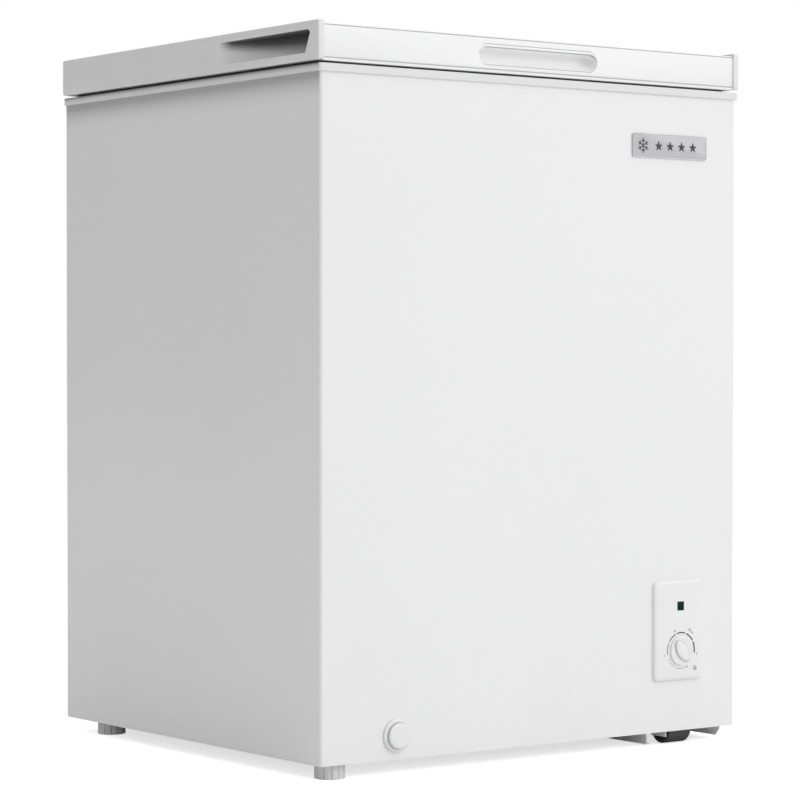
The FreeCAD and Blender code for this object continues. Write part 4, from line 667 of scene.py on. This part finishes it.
def lid_front_panel():
    """The lid's front with its handle pocket, a soft top edge and a fine groove above the bottom lip."""
    low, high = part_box("lid_front_panel")
    back_y = low.y + 2.5 * MM
    groove_low, groove_high = low.z + 2.1 * MM, low.z + 4.1 * MM
    shelf, shelf_top = low.y + 22 * MM, low.z + 3.5 * MM
    face_bottom, face_top = groove_high + 0.5 * MM, high.z - 2.2 * MM
    centre_z, half_length, half_height = 825.9 * MM, 89.7 * MM, 12.6 * MM
    lip = low.z - 0.8 * MM
    mesh = bmesh.new()

    def wall(y, bottom, top):
        """The corners of a flat wall along the panel."""
        return [(low.x, y, top), (high.x, y, top), (high.x, y, bottom), (low.x, y, bottom)]

    # the section's outside, from the top of the flat face over the top edge, down the back and round to its foot
    over = offset((low.y, face_top), (0, -0.4), (0.9, -0.3), (0.9, 0.7), (0.2, 0.9), (0.55, 1.6), (1.25, 2.05))
    over += [(low.y + 2.1 * MM, high.z), (back_y, high.z)]
    behind = [(back_y, shelf_top), (shelf, shelf_top), (shelf, low.z + 1.5 * MM), (back_y, low.z + 1.5 * MM),
              (back_y, lip)]
    under = offset((low.y, lip), (0.7, 0), (0.2, 0.2), (0, 0.7))
    under += offset((low.y, groove_low), (0, -0.3), (0.3, 0), (0.9, 0.2))
    under += offset((low.y, groove_high), (0.9, -0.4), (0.35, 0)) + [(low.y, face_bottom)]
    section = over + behind + under
    # a face inside the groove under the top edge and one inside the groove above the bottom lip take the grey of
    # painted shade
    shaded_grooves = (1, len(section) - 4)
    ends = [[mesh.verts.new((x, y, z)) for y, z in section] for x in (low.x, high.x)]
    back = len(over) - 1
    for i in range(len(section) - 1):
        if i != back:
            face = mesh.faces.new((ends[0][i], ends[0][i + 1], ends[1][i + 1], ends[1][i]))
            face.material_index = 2 if i in shaded_grooves else 0
    for end in ends:
        mesh.faces.new(end)
    front_rows = pocket_rows(centre_z, half_length, half_height, low.y, 18 * MM)
    plain = len(mesh.faces)
    patch(mesh, front_rows)
    mesh.faces.ensure_lookup_table()
    across = len(POCKET_SECTION) - 1
    # the pocket's outline grooves and the band under its lip take the grey of painted shade, the rest the pocket's
    # plastic
    for i, face in enumerate(mesh.faces[plain:]):
        face.material_index = 2 if i % across in (1, 6, 7, 8, across - 2) else 1
    fill_between(mesh, wall(low.y, face_bottom, face_top - 0.4 * MM), outline_of(front_rows))
    back_rows = pocket_rows(centre_z, half_length + 1.8 * MM, half_height + 1.8 * MM, back_y, 17.2 * MM)
    patch(mesh, back_rows)
    fill_between(mesh, wall(back_y, shelf_top, high.z), outline_of(back_rows))
    piece("lid_front_moulding", mesh, LID, "lid_plastic", "lid_front_panel", others=(LIT_POCKET_PLASTIC, PAINTED_SHADE_GREY), sharp=40)


def lid_lining():
    """The vacuum-formed lining: a flat flange, a soft step down into the tub and a shallow raised field."""
    low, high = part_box("lid_inner_liner")
    flange = high.z - 1.5 * MM
    step = 70 * MM
    levels = [(0, high.z), (0, flange)]
    levels += offset((step, flange), (-4, 0), (-1.5, -0.5), (0, -2))
    levels += offset((step, flange - 10 * MM), (2.5, 2.5), (4, 0.7))
    levels += offset((step, low.z), (6.5, 0), (30, 0), (32, 0.6), (34, 2.2), (36, 2.8), (60, 2.8))
    mesh = bmesh.new()
    loops = []
    for inset, z in levels:
        radius = max(6 * MM, 22 * MM - max(0.0, inset - step) * 0.2) if inset else 4 * MM
        loops.append([Vector((x, y, z)) for x, y in inset_outline((low, high), (X, Y), inset, radius)])
    skin(mesh, loops)
    piece("lid_lining", mesh, LID, "white_plastic", "lid_inner_liner", sharp=50)


def lid_seal():
    """The magnetic gasket: a foot clipped to the lid, a bellows fold and the bulb that holds the magnet."""
    low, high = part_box("lid_gasket")
    width = 15 * MM
    height = high.z - low.z
    # (distance in from the outer edge, height share): once round the seal's section
    section = ((0.00, 0.18), (0.03, 0.05), (0.10, 0.0), (0.55, 0.0), (0.62, 0.05), (0.65, 0.18), (0.62, 0.34),
               (0.48, 0.42), (0.46, 0.50), (0.56, 0.58), (0.90, 0.62), (0.98, 0.70), (1.00, 0.82), (0.97, 0.97),
               (0.90, 1.0), (0.14, 1.0), (0.08, 0.95), (0.10, 0.80), (0.30, 0.66), (0.33, 0.56), (0.26, 0.46),
               (0.06, 0.38), (0.01, 0.30))
    mesh = bmesh.new()
    loops = []
    for inward, rise in section + section[:1]:
        inset = inward * width
        outline = inset_outline((low, high), (X, Y), inset, 17 * MM - inset, 8)
        loops.append([Vector((x, y, low.z + rise * height)) for x, y in outline])
    skin(mesh, loops, caps=False)
    piece("lid_seal", mesh, LID, "seal", "lid_gasket", sharp=60)


# ---- cabinet's front

CABINET = "cabinet"
FACE_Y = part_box("control_bezel")[0].y


def printed_shapes(name, shapes, face_y, thickness, slot):
    """Inked shapes, each a loop of (x, z) points, just proud of a front face."""
    mesh = bmesh.new()
    for shape in shapes:
        back = [Vector((x, face_y, z)) for x, z in shape]
        skin(mesh, [back, [point - Vector((0, thickness, 0)) for point in back]])
    piece(name, mesh, CABINET, slot, material=INK, sharp=30)


def polar(centre, reach, degrees):
    """The point at that distance and angle from a centre."""
    angle = math.radians(degrees)
    return centre[0] + reach * math.cos(angle), centre[1] + reach * math.sin(angle)


def arc_band(centre, radius, start, end, width_start, width_end, steps=16):
    """A band along part of a circle, with its angles in degrees from +X, that widens from start to end."""
    inner, outer = [], []
    for i in range(steps + 1):
        t = i / steps
        angle = start + (end - start) * t
        half = (width_start + (width_end - width_start) * t) / 2
        inner.append(polar(centre, radius - half, angle))
        outer.append(polar(centre, radius + half, angle))
    return inner + list(reversed(outer))


def bar(centre, angle, start, end, width):
    """A straight bar that points away from a centre, between two distances from it."""
    angle = math.radians(angle)
    out = Vector((math.cos(angle), math.sin(angle)))
    side = Vector((-out.y, out.x)) * width / 2
    middle = Vector(centre)
    return [tuple(middle + out * start - side), tuple(middle + out * end - side), tuple(middle + out * end + side),
            tuple(middle + out * start + side)]


def snowflake(centre, radius):
    """Six arms with a pair of twigs on each."""
    thick = radius * 0.13
    shapes = []
    for arm in range(6):
        angle = 30 + 60 * arm
        shapes.append(bar(centre, angle, 0.07 * radius, radius, thick))
        knot = polar(centre, 0.52 * radius, angle)
        shapes += [bar(knot, angle + lean, 0.04 * radius, 0.36 * radius, thick * 0.85) for lean in (-52, 52)]
    return shapes


def star(centre, radius):
    """A five-pointed star with one point up."""
    return [polar(centre, radius * 0.42 if i % 2 else radius, 90 + 36 * i) for i in range(10)]


def badge_motif():
    """A snowflake and a row of four stars on the badge."""
    low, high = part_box("badge_plate")
    middle_z = (low.z + high.z) / 2
    first, pitch, size = 42, 18.5, 6.4
    shapes = snowflake((low.x + 17 * MM, middle_z), 9 * MM)
    shapes += [star((low.x + (first + pitch * i) * MM, middle_z), size * MM) for i in range(4)]
    printed_shapes("badge_motif", shapes, low.y + 0.05 * MM, 0.35 * MM, "badge_silver")


def badge_rim():
    """The bright raised border round the badge."""
    low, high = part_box("badge_plate")
    mesh = bmesh.new()
    # (inset, distance behind the plate's face) in mm
    levels = ((0.0, 0.1), (0.0, -0.25), (0.15, -0.45), (0.55, -0.45), (0.9, -0.2), (1.0, 0.1))
    loops = []
    for inset, proud in levels:
        outline = inset_outline((low, high), (X, Z), inset * MM, (3 - inset) * MM)
        loops.append([Vector((x, low.y + proud * MM, z)) for x, z in outline])
    skin(mesh, loops + loops[:1], caps=False)
    piece("badge_rim", mesh, CABINET, "badge_silver", sharp=40)


def dial_centre():
    """The middle of the thermostat's dial, as (x, z)."""
    low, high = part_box("thermostat_knob")
    return (low.x + high.x) / 2, (low.z + high.z) / 2


def dial_print():
    """The printed scale: five arcs that widen clockwise, a dotted run below them and a thin line to a tick."""
    centre = dial_centre()
    radius = 22 * MM
    arcs, gap, first = 5, 5.0, 192.0
    sweep = 204 / arcs
    shapes = []
    for i in range(arcs):
        start = first - sweep * i - gap / 2
        end = first - sweep * (i + 1) + gap / 2
        shapes.append(arc_band(centre, radius, start, end, (0.95 + 0.24 * i) * MM, (1.15 + 0.24 * i) * MM))
    shapes += [arc_band(centre, radius, 207 + 10 * i, 212 + 10 * i, 0.8 * MM, 0.8 * MM, 4) for i in range(4)]
    shapes.append(arc_band(centre, radius, 249, 298, 0.45 * MM, 0.45 * MM))
    shapes.append(bar(centre, 299, 21.2 * MM, 24 * MM, 0.6 * MM))
    shapes += snowflake((centre[0] + 23 * MM, centre[1] - 22.5 * MM), 3.4 * MM)
    wedge = [bar(centre, 47 + 5 * i, (26.5 + 0.1 * i) * MM, (29 + 0.5 * i) * MM, 0.8 * MM) for i in range(4)]
    printed_shapes("dial_print", shapes + wedge, FACE_Y + 0.03 * MM, 0.09 * MM, "control_plastic")


def dial_numbers():
    """The numbers 1, 4 and 7 round the scale, as thin printed shapes."""
    centre = dial_centre()
    for text, angle in (("1", 191), ("4", 113), ("7", -13)):
        curve = bpy.data.curves.new("number_" + text, "FONT")
        curve.body = text
        curve.size = 5.0 * MM
        curve.extrude = 0.05 * MM
        curve.align_x = curve.align_y = "CENTER"
        curve.resolution_u = 4
        letter = placed("dial_number_" + text, curve)
        bpy.context.view_layer.update()
        data = bpy.data.meshes.new_from_object(letter)
        bpy.data.objects.remove(letter)
        x, z = polar(centre, 26.3 * MM, angle)
        data.transform(Matrix.Translation((x, FACE_Y - 0.02 * MM, z)) @ Matrix.Rotation(math.pi / 2, 4, "X"))
        number = placed("dial_number_" + text, data)
        data.materials.clear()
        data.materials.append(INK)
        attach(number, CABINET)


def leaf_outline(inset, lean, side_radius=20 * MM, half=9 * MM, bound=17.2 * MM, steps=14):
    """The grip's leaf shape in (x, z), drawn in by an inset and leant over."""
    radius = side_radius - inset
    offset = side_radius - half
    reach = min(math.sqrt(radius ** 2 - offset ** 2), bound - inset)
    widest = math.asin(reach / radius)
    points = []
    for side in SIDES:
        for i in range(steps):
            angle = -widest + 2 * widest * i / steps
            points.append((side * (radius * math.cos(angle) - offset), side * radius * math.sin(angle)))
    cos, sin = math.cos(lean), math.sin(lean)
    return [(x * cos - z * sin, x * sin + z * cos) for x, z in points]


def knob():
    """The thermostat's knob: a dished disc with a skirt, and a leaf-shaped grip with a pointer line."""
    low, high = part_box("thermostat_knob")
    x, z = dial_centre()
    radius = (high.x - low.x) / 2
    back = FACE_Y - 0.3 * MM
    disc = back - 2.4 * MM
    front = low.y + 6 * MM
    profile = softened([(0.0, high.y), (3 * MM, high.y), (3 * MM, back)] + offset((radius, back), (-0.2, 0), (0, -1.2))
                       + offset((radius, disc), (-0.9, 0), (-2.4, 0), (-3.0, 0.45)) + [(0.0, disc + 0.45 * MM)],
                       0.5 * MM)
    placing = Matrix.Translation((x, 0, z)) @ Matrix.Rotation(math.radians(-90), 4, "X")
    mesh = bmesh.new()
    turned(mesh, profile, placing, 96)
    lean = 37
    levels = offset((0.0, disc), (0, 0.7), (0, 0.2), (0.1, -1.1)) + [(0.6 * MM, front + 0.45 * (disc - front))]
    levels += offset((0.0, front), (0.9, 1.4), (1.3, 0.6), (2.0, 0.15), (3.0, 0))
    loops = [[Vector((x + across, y, z + up)) for across, up in leaf_outline(inset, math.radians(lean))]
             for inset, y in levels]
    disc_faces, count = len(mesh.faces), len(loops[0])
    skin(mesh, loops)
    # the foot of the leaf's wall, next to the disc, takes the grey of painted shade
    mark_faces(mesh, disc_faces + count, disc_faces + 3 * count, 1)
    piece("thermostat_knob_moulding", mesh, "thermostat_knob", "control_plastic", "thermostat_knob",
          others=(PAINTED_SHADE_GREY,), sharp=50)
    ridge = bmesh.new()
    outline = bar((x, z), 90 + lean, 8 * MM, 14.6 * MM, 0.8 * MM)
    top = [Vector((px, front + 0.3 * MM, pz)) for px, pz in outline]
    skin(ridge, [top, [point - Vector((0, 0.6 * MM, 0)) for point in top]])
    piece("knob_pointer", ridge, "thermostat_knob", "control_plastic", sharp=30)


def control_panel():
    """The thermostat's panel: a plate with broad soft edges and a square lamp hole."""
    low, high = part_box("control_bezel")
    thick = WRAPPER[0].y - FACE_Y
    # (inset in mm, share of the panel's thickness below its face)
    fall = ((0.0, 1.0), (0.0, 0.62), (0.3, 0.45), (0.9, 0.30), (1.9, 0.17), (3.2, 0.07), (4.6, 0.015), (5.6, 0.0))
    mesh = bmesh.new()
    loops = []
    for inset, share in fall:
        reach = inset * MM
        outline = inset_outline((low, high), (X, Z), reach, 7 * MM - reach)
        loops.append([Vector((x, FACE_Y + share * thick, z)) for x, z in outline])
    skin(mesh, loops, caps=False)
    # the hole leaves out the lens's hidden flange
    rim = [Vector((x, FACE_Y, z)) for x, z in inset_outline(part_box("indicator_lens"), (X, Z), 1.45 * MM, 0.4 * MM)]
    fill_between(mesh, loops[-1], rim)
    back_rim = [point + Vector((0, thick, 0)) for point in rim]
    skin(mesh, [rim, back_rim], caps=False)
    fill_between(mesh, loops[0], back_rim)
    piece("control_panel_moulding", mesh, CABINET, "control_plastic", "control_bezel", sharp=60)


def front_drain_cap():
    """The drain's cap: a soft raised middle, a groove round it, a flange and a hollow spigot."""
    low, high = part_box("drain_cap")
    x, z = (low.x + high.x) / 2, (low.z + high.z) / 2
    radius = (high.x - low.x) / 2
    wall = WRAPPER[0].y
    front = low.y - wall
    soft = softened(offset((0.0, front), (0, 0), (12.4, 0.1), (14.6, 1.2), (14.8, 4.4)), 0.9 * MM)
    ring = softened([(15.5 * MM, front + 4.4 * MM)] + offset((radius, front), (-1.2, 4.6), (0, 5.6))
                    + [(radius, -0.2 * MM)]
                    + offset((0.0, 0.0), (8.9, -0.2), (8.9, 14), (7, 14), (7, -4), (0, -4)), 0.7 * MM)
    mesh = bmesh.new()
    sides = 96
    turned(mesh, soft + ring, Matrix.Translation((x, wall, z)) @ Matrix.Rotation(math.radians(-90), 4, "X"), sides)
    # the band where the raised middle steps down to the ring takes the grey of painted shade
    joint = len(soft) - 1
    mark_faces(mesh, (joint - 1) * sides, (joint + 1) * sides, 1)
    piece("drain_cap_moulding", mesh, "drain_cap", "white_plastic", "drain_cap", others=(PAINTED_SHADE_GREY,), sharp=50)


# ---- feet

def levelling_foot(name):
    """A levelling foot: a disc with broad ribs and deep grooves round its side, on a threaded stud."""
    low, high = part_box(name)
    middle = Matrix.Translation(((low.x + high.x) / 2, (low.y + high.y) / 2, 0))
    radius = (high.x - low.x) / 2
    top = low.z + 17.2 * MM
    pitch = 1.5 * MM
    ribs, steps = 12, 12

    def side(reach, groove):
        """An outline whose grooves cut in by that depth."""
        points = []
        for i in range(ribs * steps):
            phase = (i % steps) / steps
            cut = groove * max(0.0, math.cos(FULL_TURN * phase)) ** 5
            angle = FULL_TURN * (i + 0.5) / (ribs * steps)
            points.append(((reach - cut) * math.cos(angle), (reach - cut) * math.sin(angle)))
        return points

    # (height, depth of the grooves, inset of the outline) in mm
    levels = ((0.0, 0.0, 2.5), (0.0, 0.4, 0.8), (0.4, 1.8, 0.0), (2.2, 2.0, 0.0), (top / MM - 1.4, 2.0, 0.0),
              (top / MM - 0.5, 1.6, 0.3), (top / MM, 0.4, 1.5))
    mesh = bmesh.new()
    loops = [[middle @ Vector((x, y, low.z + z * MM)) for x, y in side(radius - inset * MM, groove * MM)]
             for z, groove, inset in levels]
    skin(mesh, loops)
    foot_faces = set(mesh.faces)
    thread = [(0.0, top - MM)]
    for i in range(int((high.z - top) / pitch)):
        thread += [(3.3 * MM, top + pitch * i), (4.0 * MM, top + pitch * (i + 0.5))]
    thread += [(3.3 * MM, high.z - 0.4 * MM), (2.6 * MM, high.z), (0.0, high.z)]
    turned(mesh, thread, middle, 32)
    mark_new(mesh, foot_faces, 1)
    piece(name + "_moulding", mesh, name, "foot_plastic", name, others=(FINISHES["zinc"],), sharp=50)


# ---- basket

def basket_hoop(mesh, low, high, inset, z, radius):
    """A level wire round the basket."""
    outline = inset_outline((low, high), (X, Y), inset, 16 * MM - inset)
    wire(mesh, [(x, y, z) for x, y in outline], radius, (0, 0, 1), closed=True)


def cradle_wire(ends, bottom, top, bend=12 * MM, steps=5):
    """A wire's (across, z) points: down one side, along the floor and up the other side."""
    near, far = ends
    points = [(near, top)]
    for corner, turn in ((near, 1), (far, -1)):
        arc = []
        for i in range(steps + 1):
            angle = math.pi / 2 * i / steps
            arc.append((corner + turn * bend * (1 - math.cos(angle)), bottom + bend * (1 - math.sin(angle))))
        points += arc if turn > 0 else list(reversed(arc))
    return points + [(far, top)]


def basket():
    """A basket of welded, plastic-coated wires that hangs from the collar by two bent handles."""
    node_low, node_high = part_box("wire_basket")
    body_y = 206 * MM
    low = Vector((node_low.x, -body_y, node_low.z))
    high = Vector((node_high.x, body_y, node_high.z))
    thin, thick = 1.5 * MM, 2.4 * MM
    mesh = bmesh.new()
    basket_hoop(mesh, low, high, thick, high.z - thick, thick)
    levels = 5
    for i in range(levels):
        rise = (i + 0.15) / levels
        basket_hoop(mesh, low, high, thick + thin, low.z + 14 * MM + rise * (high.z - low.z - 20 * MM), thin)
    inset = thick + thin * 2.6
    top = high.z - thick
    bottom = low.z + thin
    pitch = 26 * MM
    for i in range(-7, 8):
        y = pitch * i
        points = cradle_wire((low.x + inset, high.x - inset), bottom + 2 * thin, top)
        wire(mesh, [(x, y, z) for x, z in points], thin, (0, 1, 0))
    middle = (low.x + high.x) / 2
    for i in range(-3, 4):
        x = middle + pitch * i
        points = cradle_wire((low.y + inset, high.y - inset), bottom, top)
        wire(mesh, [(x, y, z) for y, z in points], thin, (1, 0, 0))
    handle = 2 * MM
    rest = node_low.z + 184.3 * MM
    x_low, x_high = low.x + 42 * MM, high.x - 42 * MM
    for side in SIDES:
        outer = side * (abs(node_high.y) - handle)
        inner = side * (body_y - thick)
        points = softened([(x_low, inner), (x_low, outer), (x_high, outer), (x_high, inner)], 6 * MM, 5)
        wire(mesh, [(x, y, rest) for x, y in points], handle, (0, 0, 1))
        for x in (x_low, x_high):
            wire(mesh, [(x, inner, rest), (x, inner, top)], handle, (1, 0, 0))
    piece("wire_basket_wires", mesh, "wire_basket", "coated_wire", "wire_basket", sharp=60)


# ---- studio

def look_from(camera, yaw, pitch):
    """Points the camera: yaw turns it from +Y towards +X, and pitch lowers it, in degrees."""
    yaw, pitch = math.radians(yaw), math.radians(pitch)
    ahead = Vector((math.sin(yaw) * math.cos(pitch), math.cos(yaw) * math.cos(pitch), -math.sin(pitch)))
    camera.rotation_euler = ahead.to_track_quat("-Z", "Y").to_euler()


def studio_camera():
    settings = bpy.data.cameras.new("studio_camera")
    settings.lens = 129.4
    settings.sensor_width = 36
    settings.clip_end = 60
    camera = placed("studio_camera", settings)
    camera.location = (-2.1406, -2.9100, 0.4753)
    look_from(camera, 36.40, 0.867)
    bpy.context.scene.camera = camera


def softbox(name, place, target, size, power):
    """A rectangular light that faces a target."""
    settings = bpy.data.lights.new(name, "AREA")
    settings.shape = "RECTANGLE"
    settings.size, settings.size_y = size
    settings.energy = power
    light = placed(name, settings)
    light.location = place
    light.rotation_euler = (Vector(target) - Vector(place)).to_track_quat("-Z", "Y").to_euler()


def studio_world(level, slope, overhead):
    """A white surround that is brighter towards one side and overhead, and seen as plain white."""
    world = bpy.data.worlds.new("studio_world")
    bpy.context.scene.world = world
    world.use_nodes = True
    nodes = Nodes(world.node_tree)
    backdrop = world.node_tree.nodes["Background"]
    backdrop.inputs["Color"].default_value = (1, 1, 1, 1)
    direction = nodes.add("ShaderNodeTexCoord").outputs["Generated"]
    facing = nodes.add("ShaderNodeVectorMath", {0: direction, 1: (*slope, 0.0)}, operation="DOT_PRODUCT")
    height = nodes.maths(nodes.add("ShaderNodeSeparateXYZ", {"Vector": direction}).outputs["Z"], 0.0, "MAXIMUM")
    sky = nodes.maths(nodes.maths(height, 1.5, "POWER"), overhead, "MULTIPLY")
    lit = nodes.maths(nodes.maths(facing.outputs["Value"], level), sky)
    seen = nodes.add("ShaderNodeLightPath").outputs["Is Camera Ray"]
    nodes.feed(backdrop.inputs["Strength"], nodes.maths(nodes.maths(lit, 0.0, "MAXIMUM"), seen, "MAXIMUM"))


def studio_floor(tone, glow):
    """A faintly uneven floor of that tone, with a glow that only the camera sees."""
    mesh = bmesh.new()
    bmesh.ops.create_grid(mesh, x_segments=8, y_segments=8, size=14)
    floor = placed_mesh("studio_floor", mesh)
    finish = Finish("pale_floor", 0.9)
    seen = finish.add("ShaderNodeLightPath").outputs["Is Camera Ray"]
    finish.shader.inputs["Emission Color"].default_value = (1, 1, 1, 1)
    finish.feed(finish.shader.inputs["Emission Strength"], finish.maths(seen, glow, "MULTIPLY"))
    finish.colour(finish.blended(finish.noise(0.5, 3), (tone, tone, tone), (tone * 1.02, tone * 1.02, tone * 1.02)))
    floor.data.materials.append(finish.material)


studio_camera()
studio_world(0.46, (0.24, -0.26), 0.75)
softbox("key_light", (1.6, -3.2, 2.3), (0, 0, 0.5), (1.8, 1.4), 24)
studio_floor(0.84, 0.66)
bpy.context.scene.view_settings.view_transform = "Standard"

dress_cad_nodes()
lid_end_cap("lid_left_end_cap", -1)
lid_end_cap("lid_right_end_cap", 1)
lid_front_panel()
lid_lining()
lid_seal()
badge_rim()
badge_motif()
dial_print()
dial_numbers()
control_panel()
knob()
front_drain_cap()
levelling_foot("front_foot")
levelling_foot("rear_foot")
basket()
